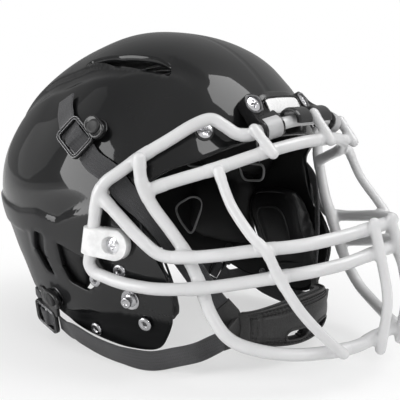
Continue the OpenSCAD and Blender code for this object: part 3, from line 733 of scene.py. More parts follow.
class HelmetFittingLook(PropertyGroup):
    black: colour_setting("Black plastic", "Colour of the top clips and buckles", (0.012, 0.012, 0.0125))
    white: colour_setting("White plastic", "Colour of the side clips", (0.86, 0.86, 0.86))
    plate: colour_setting("Plate", "Colour of the blank plate on the bumper", (0.9, 0.9, 0.9))
    chrome: colour_setting("Metal", "Colour of the screws, studs and rivets", (0.82, 0.82, 0.84))


class HelmetSoftLook(PropertyGroup):
    webbing: colour_setting("Webbing", "Colour of the chin strap's webbing", (0.062, 0.062, 0.065))
    cup: colour_setting("Cup", "Colour of the chin cup", (0.02, 0.0195, 0.0195))
    pad: colour_setting("Pads", "Colour of the pads", (0.008, 0.008, 0.0085))
    # painted highlight: the light lines round the pads stand in for pad edges catching light
    painted_pad_highlight: colour_setting("Painted_pad_highlight", "Colour of the pads' piping", (0.34, 0.34, 0.345))
    swell: length_setting("Swell", "How far a pad's cover may swell", 0.003)


class HelmetStudioLook(PropertyGroup):
    floor: colour_setting("Floor", "Colour of the floor", (0.86, 0.86, 0.86))
    key: FloatProperty(name="Softboxes", description="Strength of the softboxes", default=5.4, min=0)
    fill: FloatProperty(name="Surround", description="Strength of the white surround", default=0.62, min=0)


# ---- the shell


def point_in(outline, points):
    inside = np.zeros(len(points), bool)
    x, y = points[:, 0], points[:, 1]
    for a, b in zip(outline, np.roll(outline, -1, 0)):
        spans = (a[1] > y) != (b[1] > y)
        cut = a[0] + (y - a[1]) / (b[1] - a[1] + 1e-12) * (b[0] - a[0])
        inside ^= spans & (x < cut)
    return inside


def nearest_on(outline, points):
    """Nearest point of a closed outline to each point, and the way into the outline there."""
    a, b = outline, np.roll(outline, -1, 0)
    ab = b - a
    t = np.clip(np.einsum("psk,sk->ps", points[:, None] - a, ab) / (ab**2).sum(1), 0, 1)
    foot = a + t[..., None] * ab
    pick = ((points[:, None] - foot) ** 2).sum(2).argmin(1)
    spot = foot[np.arange(len(points)), pick]
    gap = spot - points
    return spot, gap / np.maximum(np.linalg.norm(gap, axis=1, keepdims=True), 1e-6)


def on_surface(fixed, free, start, stop, out):
    """Points of the shell's surface with two coordinates fixed; the third lies between start and stop."""
    low, high = np.full(len(fixed), float(start)), np.full(len(fixed), float(stop))

    def at(value):
        return np.insert(fixed, free, value, axis=1)

    for _ in range(HALVINGS):
        mid = (low + high) / 2
        p = at(mid)
        outside = np.linalg.norm(p, axis=1) > np.linalg.norm(reach(p, out), axis=1)
        low, high = np.where(outside, mid, low), np.where(outside, high, mid)
    return at((low + high) / 2)


def step_up(gap, above, below, width=3.5, fade=26):
    """A moulded step: gap is how far a point lies beyond its line, and both heights fade out away from it."""
    side = smooth(gap / width + 0.5)
    far = np.exp(-((gap / fade) ** 2))
    return (above * side + below * (1 - side)) * far


BELT_TOP = (
    (-70, -50, -35, -23, -11, -1, 7, 25, 50, 80, 110, 150), (10, 8, 3, -1, -6, -11, -10, -7, -10, -8, -4, -4)
)
JAW_LEDGE = ((-100, -73, -50, -26, 3, 20), (-71, -71, -71.5, -76, -82, -86))
JAW_BASE = ((-100, -86, -61, -35, -5), (-87, -87, -86, -89, -92))
CROWN_RIDGE = (
    (-110, -75, -60, -46, -32, -13, 4, 23, 41, 57, 73, 110, 150),
    (44, 50, 55, 64, 71.5, 73, 73, 72, 70, 68, 66, 58, 40),
)


def below_belt(p):
    """1 under the belt's line over the ears, 0 above it."""
    return smooth((np.interp(p[..., 1], *BELT_TOP) - p[..., 2]) / 3 + 0.5) * smooth((p[..., 1] + 45) / 30)


def below_ledge(p):
    """1 on the jaw band, 0 above its ledge."""
    lower = smooth((np.interp(p[..., 1], *JAW_LEDGE) - p[..., 2]) / 1.6)
    return lower * smooth((12 - p[..., 1]) / 14) * (np.abs(p[..., 0]) > 60)


def shell_zones(p):
    """Strength of the coat, and the base's tone, which is painted light that lightens the base over the belt,
    at points of the shell.
    """
    belt, band = below_belt(p), below_ledge(p)
    ahead = smooth((p[..., 1] + 20) / 40)
    gloss = (1 - 0.6 * belt * ahead) * (1 - 0.98 * band)
    # painted light: the tone lightens the base over the belt, more fully below a height of -22 mm
    tone = belt * ahead * (1 - band) * (0.75 + 0.25 * smooth((-22 - p[..., 2]) / 3))
    return np.stack((gloss, tone), -1)


def shell_relief(p, look):
    """Height of the moulded forms over the plain shell, in millimetres."""
    x, y, z = np.abs(p[..., 0]), p[..., 1], p[..., 2]
    edge = np.interp(y, *CROWN_RIDGE)
    reach_of_band = smooth((y + 92) / 30) * smooth((150 - y) / 30) * smooth((z - 20) / 30)
    band = step_up(edge - x, 0.45, -0.55) * reach_of_band
    trough = smooth((x - edge + 3) / 5) * smooth((edge + 13 - x) / 6)
    trough = trough * smooth((y + 88) / 22) * smooth((112 - y) / 50) * smooth((z - 40) / 30)
    belt = step_up(np.interp(y, *BELT_TOP) - z, 0.35, -0.65) * smooth((y + 62) / 16)
    under = np.interp(y, [20, 30, 50, 90, 150], [-24, -22, -25, -24, -22])
    belt = belt - 0.7 * smooth((under - z) / 3) * smooth((y - 34) / 10) * smooth((z + 50) / 20)
    groove = below_ledge(p) * smooth((z - np.interp(y, *JAW_BASE)) / 5)
    crease = smooth((1.6 - x) / 1.4) * smooth((-y - 5) / 40) * smooth((z - 62) / 20)
    steps = band * look.band - trough * look.trough + belt * look.belt - groove * look.groove
    return steps / MM - crease * 0.45


def edge_aims(spokes):
    """Directions of evenly spaced points round the shell's free edge."""
    half = curve(EDGE_AIMS, 16)
    loop = np.concatenate((half, flip(half[-2:0:-1])))
    closed = np.concatenate((loop, loop[:1]))
    run = run_along(closed)
    even = np.linspace(0, run[-1], spokes, endpoint=False)
    return unit(np.stack([np.interp(even, run, closed[:, k]) for k in range(3)], 1))


def open_vents(outer, inner):
    """Moves grid points onto the vents' edges; gives the cells that stay and the way into each vent."""
    rings, spokes = outer.shape[:2]
    kept = np.ones((rings - 1, spokes), bool)
    way_in = np.zeros_like(outer)
    for corners, free, side in [(*vent, side) for vent in VENTS for side in (-1, 1)]:
        outline = rounded_outline(corners, VENT_CORNER_R, 6)
        if free == 0:
            flat, near = outer[..., 1:], outer[..., 0] * side > 60
            start, stop = side * 140, side * 60
        else:
            outline = outline * (-side, 1)
            flat, near = outer[..., :2], outer[..., 2] > 60
            start, stop = 140, 55
        inside = np.zeros((rings, spokes), bool)
        inside[near] = point_in(outline, flat[near])
        wrap = np.roll(inside, -1, 1)
        open_cell = inside[:-1] | wrap[:-1] | inside[1:] | wrap[1:]
        kept &= ~open_cell
        touched = np.zeros((rings, spokes), bool)
        for a in (0, 1):
            for b in (0, 1):
                touched[a : rings - 1 + a] |= np.roll(open_cell, b, 1)
        edge = touched & ~inside
        spot, way = nearest_on(outline, flat[edge])
        outer[edge] = on_surface(spot, free, start, stop, 0.0)
        inner[edge] = on_surface(spot, free, start, stop, -SHELL_WALL)
        way_in[edge] = np.insert(way, free, 0.0, axis=1)
    return kept, way_in


def vent_edges(kept):
    """Pairs of grid points between a cell that stays and one that is cut away."""
    pairs = []
    rows, spokes = kept.shape
    for i in range(rows):
        for j in range(spokes):
            beside = (j + 1) % spokes
            if kept[i, j] != kept[i, beside]:
                pairs.append(((i, beside), (i + 1, beside)))
            if i < rows - 1 and kept[i, j] != kept[i + 1, j]:
                pairs.append(((i + 1, j), (i + 1, beside)))
    return pairs


def shell_parts(look, rings=126, spokes=360):
    """Points and faces of the shell, and which faces are on its inside."""
    rim, pole = edge_aims(spokes), unit(SHELL_POLE)
    angle = np.arccos(rim @ pole)[None, :, None]
    t = (np.arange(1, rings + 1) / rings)[:, None, None]
    aims = (np.sin((1 - t) * angle) * pole + np.sin(t * angle) * rim) / np.sin(angle)
    outer, inner = reach(aims), reach(aims, -SHELL_WALL)
    kept, way_in = open_vents(outer, inner)
    outer = outer + shell_normal(outer) * shell_relief(outer, look)[..., None]
    tip_out, tip_in = reach(pole)[None], reach(pole, -SHELL_WALL)[None]
    tip_out = tip_out + shell_normal(pole) * shell_relief(tip_out, look)[..., None]
    count = rings * spokes
    points = [tip_out, outer.reshape(-1, 3), tip_in, inner.reshape(-1, 3)]
    size = 2 * (1 + count)

    def index(i, j, layer):
        return layer * (1 + count) + 1 + i * spokes + j % spokes

    faces, inside_face = [], []
    for layer in (0, 1):
        for j in range(spokes):
            faces.append((layer * (1 + count), index(0, j, layer), index(0, j + 1, layer)))
            inside_face.append(layer)
    for i, j in zip(*np.nonzero(kept)):
        for layer in (0, 1):
            corners = ((i, j), (i + 1, j), (i + 1, j + 1), (i, j + 1))
            faces.append(tuple(index(a, b, layer) for a, b in corners))
            inside_face.append(layer)
    # the rolled rim
    mid, spread = (outer[-1] + inner[-1]) / 2, (outer[-1] - inner[-1]) / 2
    beyond = unit(outer[-1] - outer[-2])
    beyond = unit(beyond - (beyond * unit(spread)).sum(1, keepdims=True) * unit(spread))
    loops = [[index(rings - 1, j, 0) for j in range(spokes)]]
    for k in range(1, RIM_STEPS):
        a = math.pi * k / RIM_STEPS
        points.append(mid + spread * math.cos(a) + beyond * RIM_BULGE * math.sin(a))
        loops.append(list(range(size, size + spokes)))
        size += spokes
    loops.append([index(rings - 1, j, 1) for j in range(spokes)])
    for a, b in zip(loops, loops[1:]):
        for j in range(spokes):
            k = (j + 1) % spokes
            faces.append((a[j], a[k], b[k], b[j]))
    # the rolled edges of the vents
    pairs = vent_edges(kept)
    ladder = {}
    for i, j in sorted({p for pair in pairs for p in pair}):
        o, n, w = outer[i, j], inner[i, j] - outer[i, j], way_in[i, j]
        points.append(np.array([o + w * into + n * through for into, through in VENT_RUNGS]))
        ladder[i, j] = [index(i, j, 0), size, size + 1, size + 2, index(i, j, 1)]
        size += 3
    for a, b in pairs:
        for k in range(4):
            faces.append((ladder[a][k], ladder[b][k], ladder[b][k + 1], ladder[a][k + 1]))
    inside_face += [0] * (len(faces) - len(inside_face))
    return np.concatenate(points), faces, inside_face


def build_shell(look):
    points, faces, inside_face = shell_parts(look)
    used = np.unique(np.concatenate([np.array(f) for f in faces]))
    renumber = np.zeros(len(points), int)
    renumber[used] = np.arange(len(used))
    faces = [tuple(int(renumber[i]) for i in f) for f in faces]
    obj = make_piece(
        "shell_skin", (points[used], faces),
        [finish_shell("shell_gloss", look), finish_lining("shell_inside", (0.012, 0.012, 0.0125))],
        stands_for=["shell"], uv=shell_zones(points[used]),
    )
    obj.data.polygons.foreach_set("material_index", inside_face[: len(obj.data.polygons)])
    obj.data.update()
    return obj


# ---- the face guard

CROSS_STEP = (BAR_R + BAR_R - WELD) / 2
UPRIGHT_STEP = BAR_R + UPRIGHT_R - WELD
STRUT_STEP = BAR_R + STRUT_R - WELD
UPRIGHT_TOP = np.array((-123.6, -49, 8.0))
UPRIGHT_FOOT = np.array((-124.4, -42.2, -30.0))
STRUT_LEAN = unit((-0.2, -0.75, 0.63))
BAR_SIDES, BAR_END = 24, 0.45
WELD_REACH = 8.5
WELD_VOXEL = 0.0009
CLIP_BAR_A, CLIP_BAR_B = np.array((-46, -131, 57.0)), np.array((-32, -134.6, 60.0))
CHIN_BAR_START = (-105, -74, 40)
UPPER_AT_CHIN, LOWER_AT_CHIN = (-97, -108, -25), (-94, -118, -45)
UPPER_AT_LONG, LOWER_AT_LONG, CHIN_AT_LONG = (-79, -156, -17), (-75, -164, -35), (-41, -191, -88)
BROW_AT_LONG = (-81, -119, 33)
UPPER_AT_CENTRE, LOWER_AT_CENTRE, CHIN_AT_CENTRE = (-12, -195, -9), (-13, -200, -25), (-14, -204, -83)
TOP_AT_STRUT, BROW_AT_STRUT = (-55, -127, 54.5), (-51, -139.5, 43.5)
TOP_MIDDLE, BROW_MIDDLE = (0, -138, 63), (0, -151, 49)


def upright(t):
    return UPRIGHT_TOP + (UPRIGHT_FOOT - UPRIGHT_TOP) * t


def out_by(p, distance):
    return np.asarray(p, float) + away(p) * distance


def guard_keys():
    """Key points of the bars on the wearer's right, by name."""
    return {
        "top": [
            upright(0.02), (-122.6, -50.8, 15.5), (-119.6, -55, 23), (-115, -62, 29), CHIN_BAR_START,
            (-93, -88, 51), (-80, -99, 61), (-71, -107, 65), (-66, -114, 61), (-61, -121, 55.5), TOP_AT_STRUT,
            CLIP_BAR_A, CLIP_BAR_B, (-16, -137, 62.4),
        ],
        "brow": [
            (-104, -86, 20), (-97, -98, 25), BROW_AT_LONG, (-66, -131, 39), BROW_AT_STRUT, (-24, -148, 48),
        ],
        "upper_cross": [
            UPRIGHT_TOP + (2, -4.2, 3.5), (-119.6, -65, 1.5), (-114, -82, -15), (-107, -94, -25),
            out_by(UPPER_AT_CHIN, CROSS_STEP), (-92, -131, -22), UPPER_AT_LONG, (-63, -176, -14),
            (-38, -189, -11), UPPER_AT_CENTRE,
        ],
        "lower_cross": [
            upright(0), upright(0.35), upright(0.7), upright(1), (-124.3, -41.3, -36), (-123.4, -45.2, -41.5),
            (-121.8, -53, -43.6), (-119, -68, -46.3), (-114, -90, -47.2), (-106, -107, -46.5),
            out_by(LOWER_AT_CHIN, CROSS_STEP), (-88, -140, -41), LOWER_AT_LONG, (-60, -182, -31),
            (-38, -194, -28), LOWER_AT_CENTRE,
        ],
        "chin": [
            out_by(CHIN_BAR_START, 2 * CROSS_STEP), (-111, -80, 24), (-107, -86, 8), (-99, -96, -10),
            out_by(UPPER_AT_CHIN, -CROSS_STEP), out_by(LOWER_AT_CHIN, -CROSS_STEP), (-91, -124, -64),
            (-88, -137, -79), (-78, -154, -86), (-61, -174, -89), CHIN_AT_LONG, (-27, -200, -86),
            CHIN_AT_CENTRE,
        ],
        "long": [
            out_by(BROW_AT_LONG, UPRIGHT_STEP), (-86, -136, 12), (-86, -152, -6),
            out_by(UPPER_AT_LONG, UPRIGHT_STEP), out_by(LOWER_AT_LONG, UPRIGHT_STEP), (-72, -184, -56),
            (-57, -195, -76), out_by(CHIN_AT_LONG, UPRIGHT_STEP),
        ],
        "centre": [
            out_by(UPPER_AT_CENTRE, UPRIGHT_STEP) + (0, 1, 6), out_by(UPPER_AT_CENTRE, UPRIGHT_STEP),
            out_by(LOWER_AT_CENTRE, UPRIGHT_STEP), (-14, -214, -54), out_by(CHIN_AT_CENTRE, UPRIGHT_STEP),
            out_by(CHIN_AT_CENTRE, UPRIGHT_STEP) + (0, 1, -7),
        ],
        "strut": [
            np.asarray(TOP_AT_STRUT) + STRUT_LEAN * STRUT_STEP,
            out_by(BROW_AT_STRUT, STRUT_STEP + 0.8) + (0, 0, -1),
        ],
        "strut_centre": [
            np.asarray(TOP_MIDDLE) + unit((0, STRUT_LEAN[1], STRUT_LEAN[2])) * STRUT_STEP,
            out_by(BROW_MIDDLE, STRUT_STEP + 0.8) + (0, 0, -1),
        ],
    }


def whole(keys, middle=()):
    keys = [np.asarray(k, float) for k in keys]
    return keys + [np.asarray(k, float) for k in middle] + [flip(k) for k in reversed(keys)]


def weld_parts(path_a, path_b, r_a, r_b, fillet):
    """A filleted lump where two bars meet: both short lengths, fused and smoothed."""
    gap = np.linalg.norm(path_a[:, None] - path_b[None], axis=2)
    i, j = np.unravel_index(gap.argmin(), gap.shape)
    parts = []
    for path, k, r in ((path_a, i, r_a), (path_b, j, r_b)):
        near = np.linalg.norm(path - path[k], axis=1) < WELD_REACH
        parts.append(tube(path[near], r + fillet, 18, rounding=r * 0.9))
    obj = scratch("weld", joined(*parts))
    settle(
        obj,
        ("REMESH", {"mode": "VOXEL", "voxel_size": WELD_VOXEL}),
        ("SMOOTH", {"factor": 0.5, "iterations": 9}),
    )
    made = points_of(obj.data) / MM, faces_of(obj.data)
    discard(obj)
    return made


def build_guard(look):
    keys = guard_keys()
    coat = finish_coating("guard_coating", tuple(look.colour))
    bars = {
        "top_bar": (whole(keys["top"], [TOP_MIDDLE]), BAR_R),
        "brow_bar": (whole(keys["brow"], [BROW_MIDDLE]), BAR_R),
        "upper_cross_bar": (whole(keys["upper_cross"]), BAR_R),
        "lower_cross_bar": (whole(keys["lower_cross"]), BAR_R),
        "chin_bar": (whole(keys["chin"]), BAR_R),
        "brow_strut_centre": (keys["strut_centre"], STRUT_R),
    }
    for name, r in (("long", UPRIGHT_R), ("centre", UPRIGHT_R), ("strut", STRUT_R)):
        full = "brow_strut" if name == "strut" else f"{name}_upright"
        bars[f"{full}_right"] = (keys[name], r)
        bars[f"{full}_left"] = ([flip(k) for k in keys[name]], r)
    paths = {}
    for name, (points, r) in bars.items():
        path = curve(points, 8)
        paths[name] = (path, r)
        make_piece(
            f"coated_{name}", tube(path, r, BAR_SIDES, rounding=r * BAR_END), coat,
            stands_for=[f"guard_{name}"],
        )
    half = {}
    for name, (path, r) in paths.items():
        on_right = path[path[:, 0] < 0.5]
        half[name] = (on_right if len(on_right) > 1 else path, r)
    meets = (
        ("top_bar", "lower_cross_bar"), ("top_bar", "upper_cross_bar"), ("upper_cross_bar", "chin_bar"),
        ("brow_bar", "brow_strut_right"), ("lower_cross_bar", "chin_bar"), ("top_bar", "brow_strut_right"),
        ("upper_cross_bar", "long_upright_right"), ("lower_cross_bar", "long_upright_right"),
        ("lower_cross_bar", "centre_upright_right"), ("upper_cross_bar", "centre_upright_right"),
        ("top_bar", "chin_bar"), ("chin_bar", "centre_upright_right"), ("chin_bar", "long_upright_right"),
        ("brow_bar", "long_upright_right"), ("brow_bar", "chin_bar"),
    )
    lumps = []
    for a, b in meets:
        lump = weld_parts(half[a][0], half[b][0], half[a][1], half[b][1], look.fillet / MM)
        lumps += [lump, (flip(lump[0]), lump[1])]
    for a in ("top_bar", "brow_bar"):
        path, r = paths["brow_strut_centre"]
        lumps.append(weld_parts(paths[a][0], path, paths[a][1], r, look.fillet / MM))
    return make_piece("guard_welds", joined(*lumps), coat)


# ---- screws, studs and rivets


def screw_parts(aim, out):
    """A domed screw with a cross recess and a washer face."""
    rings, sides = 15, 72
    angles = turns(sides)
    radii = np.concatenate((np.linspace(0.35, HEAD_R - 0.5, rings - 3), (HEAD_R - 0.15, HEAD_R, HEAD_R)))
    dome = []
    for k, r in enumerate(radii):
        x, y = r * np.cos(angles), r * np.sin(angles)
        z = np.full(sides, HEAD_H - 0.35 - (r / HEAD_R) ** 2 * 0.9 * HEAD_H * 0.35)
        if k == rings - 2:
            z -= 0.35
        if k == rings - 1:
            z[:] = 0.02
        cross = np.minimum(np.abs(x), np.abs(y))
        deep = smooth((0.95 - cross) / 0.35) * smooth((3.3 - r) / 0.7)
        dome.append(np.stack((x, y, z - 1.5 * deep), 1))
    return placed(loft(dome[::-1]), seat(aim, out))


def turned_pair(name, aim, profile, finish, node):
    parts = paired(placed(lathe(profile), seat(aim)))
    return make_piece(name, parts, finish, stands_for=[node], angle=40)


def shank_profile(wall):
    return [
        (0.3, -wall - 1.2), (STUD_R - 0.3, -wall - 1.2), (STUD_R, -wall - 0.9), (STUD_R, -wall),
        (SHANK_R, -wall), (SHANK_R, 0),
    ]


def stud_profile(wall):
    head = [
        (STUD_BASE_R, 0), (STUD_BASE_R, 0.5), (STUD_BASE_R - 0.4, 0.9), (STUD_BASE_R - 1.3, 0.95),
        (STUD_BASE_R - 1.8, 0.7), (STUD_R + 1, 0.8), (STUD_R + 0.5, 1.6), (STUD_R - 0.2, 1.9),
        (STUD_R - 0.8, 2.2), (STUD_R - 0.8, 3.3), (STUD_R - 0.1, 4), (STUD_R, 4.5), (STUD_R, STUD_H - 1),
        (STUD_R - 0.3, STUD_H - 0.3), (STUD_R - 0.9, STUD_H), (STUD_R - 1.6, STUD_H - 0.1),
        (STUD_R - 2, STUD_H - 0.9), (STUD_R - 2.6, STUD_H - 1.2), (0.3, STUD_H - 1.25),
    ]
    return shank_profile(wall) + head


def rivet_profile(wall):
    return shank_profile(wall) + [
        (5.2, 0), (5.2, 0.6), (4.9, 1.1), (4.2, 1.55), (3.4, 1.6), (2.6, 1.5), (2.2, 1), (1.7, 0.3),
        (1.2, 0.1), (0.3, 0.1),
    ]


def build_screws(look):
    chrome = finish_metal("screw_chrome", tuple(look.chrome), 0.1)
    ring = finish_moulded("screw_washer", tuple(look.black), 0.35)
    spots = (
        ("top_clip_screws", TOP_CLIP_AT, TOP_CLIP_LIFT + TOP_CLIP_T - 1.5),
        ("side_clip_screws", SIDE_SCREW_AT, SIDE_CLIP_LIFT + 5),
        ("brow_screws", BROW_SCREW_AT, 0.35),
    )
    for node, aim, out in spots:
        screws = paired(screw_parts(aim, out))
        make_piece(f"domed_{node}", screws, chrome, stands_for=[node], angle=50)
        washer = lathe([
            (HEAD_R - 0.4, -0.3), (HEAD_R + 1.1, -0.3), (HEAD_R + 1.3, 0), (HEAD_R + 1.0, 0.45),
            (HEAD_R + 0.3, 0.55), (HEAD_R - 0.4, 0.3),
        ], 48)
        make_piece(f"washer_{node}", paired(placed(washer, seat(aim, out))), ring, angle=50)


def build_studs(look):
    bright = finish_metal("stud_chrome", tinted(tuple(look.chrome), 0.62), 0.16)
    dark = finish_metal("stud_black_and_rivet_shade", tinted(tuple(look.chrome), 0.12), 0.3)
    for level, aim in (("upper", UPPER_STUD_AT), ("lower", LOWER_STUD_AT), ("spare", SPARE_STUD_AT)):
        metal = bright if level == "spare" else dark
        profile = stud_profile(wall_at(aim))
        turned_pair(f"turned_{level}_studs", aim, profile, metal, f"{level}_strap_studs")
    rivets, hearts = [], []
    # painted shade: dark metal discs fill the rivets' hollow middles, standing in for the shade inside them
    heart = lathe([(0.3, 0.12), (2.0, 0.12), (2.1, 0.3), (1.9, 0.5), (0.8, 0.42), (0.3, 0.4)], 24)
    for aim in JAW_RIVETS_AT:
        rivets.append(placed(lathe(rivet_profile(wall_at(aim))), seat(aim)))
        hearts.append(placed(heart, seat(aim)))
    points, faces = joined(*rivets)
    eyes, eye_faces = joined(*hearts)

    def build(side, turned):
        make_piece(
            f"turned_rivets_{side}", (turned(points), faces), bright,
            stands_for=[f"jaw_rivets_{side}"], angle=40,
        )
        make_piece(f"rivet_hearts_{side}", (turned(eyes), eye_faces), dark, angle=50)

    both(build)


# ---- clips and bumper


# degrees between faces: below the first they are made one, above the second their edge stays sharp
FLAT_WITHIN, SHARP_FROM = 4, 35


def hull_piece(name, clouds, finish, node, bevel, shape=lambda p: p):
    """A convex moulded body round clouds of points, with rounded edges."""
    work = bmesh.new()
    for p in np.concatenate(clouds):
        work.verts.new(tuple(np.asarray(shape(p)) * MM))
    made = bmesh.ops.convex_hull(work, input=work.verts)
    within = [g for g in made["geom_interior"] if isinstance(g, bmesh.types.BMVert)]
    bmesh.ops.delete(work, geom=within, context="VERTS")
    bmesh.ops.dissolve_limit(work, angle_limit=math.radians(FLAT_WITHIN), verts=work.verts, edges=work.edges)
    mesh = bpy.data.meshes.new(name)
    work.to_mesh(mesh)
    work.free()
    obj = linked(name, mesh)
    settle(obj, ("BEVEL", {"width": bevel * MM, "segments": 3, "limit_method": "ANGLE", "angle_limit": 0.6}))
    obj.data.materials.append(finish)
    shade(obj.data, SHARP_FROM)
    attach(obj, "helmet")
    if node:
        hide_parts(node)
    return obj


def pocketed(obj, aim, floor, radius, flare, turned):
    """Cuts a flared round pocket for a screw's head into a piece, down to a height over the shell."""
    bore = lathe([(radius, floor), (radius, floor + 1.2), (radius + flare, floor + 14)], 48)
    cutter = scratch("pocket", placed(bore, seat(aim), turned))
    settle(obj, ("BOOLEAN", {"operation": "DIFFERENCE", "solver": "EXACT", "object": cutter}))
    discard(cutter)
    shade(obj.data, SHARP_FROM)
    return obj


def disc_cloud(aim, radius, low, high, sides=36):
    a = turns(sides)
    rim = np.stack((radius * np.cos(a), radius * np.sin(a), np.zeros(sides)), 1)
    return np.concatenate((place(rim, seat(aim, low)), place(rim, seat(aim, high))))


def rod_cloud(middle, along, half, radius, sides=30):
    along = unit(along)
    v = unit(np.cross(along, (0, 0.2, 1)))
    w = np.cross(along, v)
    a = turns(sides)
    rim = radius * (np.cos(a)[:, None] * v + np.sin(a)[:, None] * w)
    return np.concatenate([middle + along * s + rim for s in (-half, half)])


def clip_axes(aim, out, towards):
    """A clip's own frame: the first axis points at the bar, the third off the shell."""
    origin, axes = seat(aim, out)
    n = axes[2]
    x = np.asarray(towards, float) - origin
    x = unit(x - n * np.dot(x, n))
    return origin, np.array((x, np.cross(n, x), n))


def build_top_clips(look):
    black = finish_moulded("clip_black", tinted(tuple(look.black), 0.8), 0.1)
    stripe = finish_moulded("clip_grey", (0.16, 0.16, 0.165), 0.3)
    pale = finish_moulded("clip_pale", (0.4, 0.4, 0.405), 0.3)
    mid, along = (CLIP_BAR_A + CLIP_BAR_B) / 2, CLIP_BAR_B - CLIP_BAR_A
    run = [mid + unit(along) * s for s in (-6.4, -2, 2, 6.4)]
    saddle = tube(run, BAR_R + CLIP_GAP + CLIP_WALL + 0.35, 40, rounding=1.2)
    face = TOP_CLIP_LIFT + TOP_CLIP_T
    clouds = [
        disc_cloud(TOP_CLIP_AT, TOP_CLIP_W / 2, TOP_CLIP_LIFT - 1.4, face),
        rod_cloud(mid, along, TOP_CLIP_W / 2, BAR_R + CLIP_GAP + CLIP_WALL),
    ]
    at = clip_axes(TOP_CLIP_AT, face, mid)
    reach_x = float(np.dot(mid - at[0], at[1][0]))
    outline = rounded_outline(
        [
            (-7.2, -5), (-7.2, 5), (-4, 7.2), (2, 7.2), (reach_x - 1, 6.2), (reach_x - 1, -6.2), (2, -7.2),
            (-4, -7.2),
        ],
        4, 4,
    )
    inner = shrunk(outline[::-1], 1.3)[::-1]
    rib = ring_plate(outline, inner, [(0, -0.6), (0, 0.4), (0.3, 0.75), (0.7, 0.75), (1, 0.4), (1, -0.6)])
    collar = lathe([(HEAD_R + 0.9, -0.6), (HEAD_R + 0.9, 0.5), (HEAD_R + 1.3, 0.9), (HEAD_R + 1.9, 0.5),
                    (HEAD_R + 1.9, -0.6)], 48)
    foot = lathe([(TOP_CLIP_W / 2 - 1.5, -0.4), (TOP_CLIP_W / 2 - 0.3, -0.4), (TOP_CLIP_W / 2 - 0.3, 0.9),
                  (TOP_CLIP_W / 2 - 1.5, 1.3), (2.6, 1.3), (2.6, -0.4)], 48)

    def build(side, turned):
        node = f"top_clip_{side}"
        body = hull_piece(f"moulded_{node}", clouds, black, node, 1.1, turned)
        pocketed(body, TOP_CLIP_AT, face - 1.6, HEAD_R + 1.5, 12, turned)
        make_piece(f"top_clip_saddle_{side}", (turned(saddle[0]), saddle[1]), pale, angle=50)
        for name, parts, spot, finish in (
            ("rib", rib, at, stripe),
            ("collar", collar, at, stripe),
            ("foot", foot, seat(TOP_CLIP_AT), black),
        ):
            make_piece(f"top_clip_{name}_{side}", placed(parts, spot, turned), finish, angle=50)

    both(build)


def build_side_clips(look):
    white = finish_clear_white("clip_white", tuple(look.white))
    mid, along = upright(0.7), UPRIGHT_FOOT - UPRIGHT_TOP
    clouds = [
        disc_cloud(SIDE_SCREW_AT, SIDE_CLIP_H / 2 - 1, SIDE_CLIP_LIFT, SIDE_CLIP_LIFT + 6.5),
        rod_cloud(mid, along, SIDE_CLIP_GRIP / 2, BAR_R + CLIP_GAP + CLIP_WALL - 1),
    ]
    at = clip_axes(SIDE_SCREW_AT, SIDE_CLIP_LIFT + 6.5, mid)
    boss = lathe([(HEAD_R + 0.9, -1.2), (HEAD_R + 1.1, 0.3), (HEAD_R + 1.6, 0.7), (HEAD_R + 2.3, 0.4),
                  (HEAD_R + 2.5, -0.8)], 48)
    reach_x = float(np.dot(mid - at[0], at[1][0]))
    outline = rounded_outline(
        [(HEAD_R + 4, -6), (HEAD_R + 4, 6), (reach_x - 8, 7), (reach_x - 8, -7)], 2.5, 4
    )
    inner = shrunk(outline[::-1], 1.0)[::-1]
    frame_rib = ring_plate(outline, inner, [(0, -1.5), (0, 0.5), (0.5, 0.8), (1, 0.5), (1, -1.5)])

    def build(side, turned):
        node = f"side_clip_{side}"
        body = hull_piece(f"moulded_{node}", clouds, white, node, 2.2, turned)
        pocketed(body, SIDE_SCREW_AT, SIDE_CLIP_LIFT + 4.6, HEAD_R + 0.5, 1.5, turned)
        for name, parts in (("boss", boss), ("rib", frame_rib)):
            make_piece(f"side_clip_{name}_{side}", placed(parts, at, turned), white, angle=60)

    both(build)


def squircle(angles, n):
    c, s = np.cos(angles), np.sin(angles)
    return np.stack((c, s), 1) / ((np.abs(c) ** n + np.abs(s) ** n) ** (1 / n))[:, None]


def patch_rings(aim, e1, e2, back, face, n, edge, rings, spokes):
    """The two faces of a pad or plate that follows the shell, as in the part's source."""
    aim, e1, e2 = (np.asarray(v, float) for v in (aim, e1, e2))
    q = squircle(turns(spokes), n)
    backs, fronts = [], []
    for i in range(1, rings + 1):
        s = i / rings
        spots = aim + e1 * q[:, :1] * s + e2 * q[:, 1:] * s
        lift = edge + (1 - edge) * (1 - s**4) ** 0.6
        low = reach(spots, back)
        backs.append(low)
        fronts.append(low + unit(spots) * (face - back) * lift)
    return backs, fronts


def patch_parts(aim, e1, e2, back, face, n=3, edge=0.35, rings=14, spokes=72):
    backs, fronts = patch_rings(aim, e1, e2, back, face, n, edge, rings, spokes)
    return loft(backs[:1][::-1] + backs + fronts[::-1])


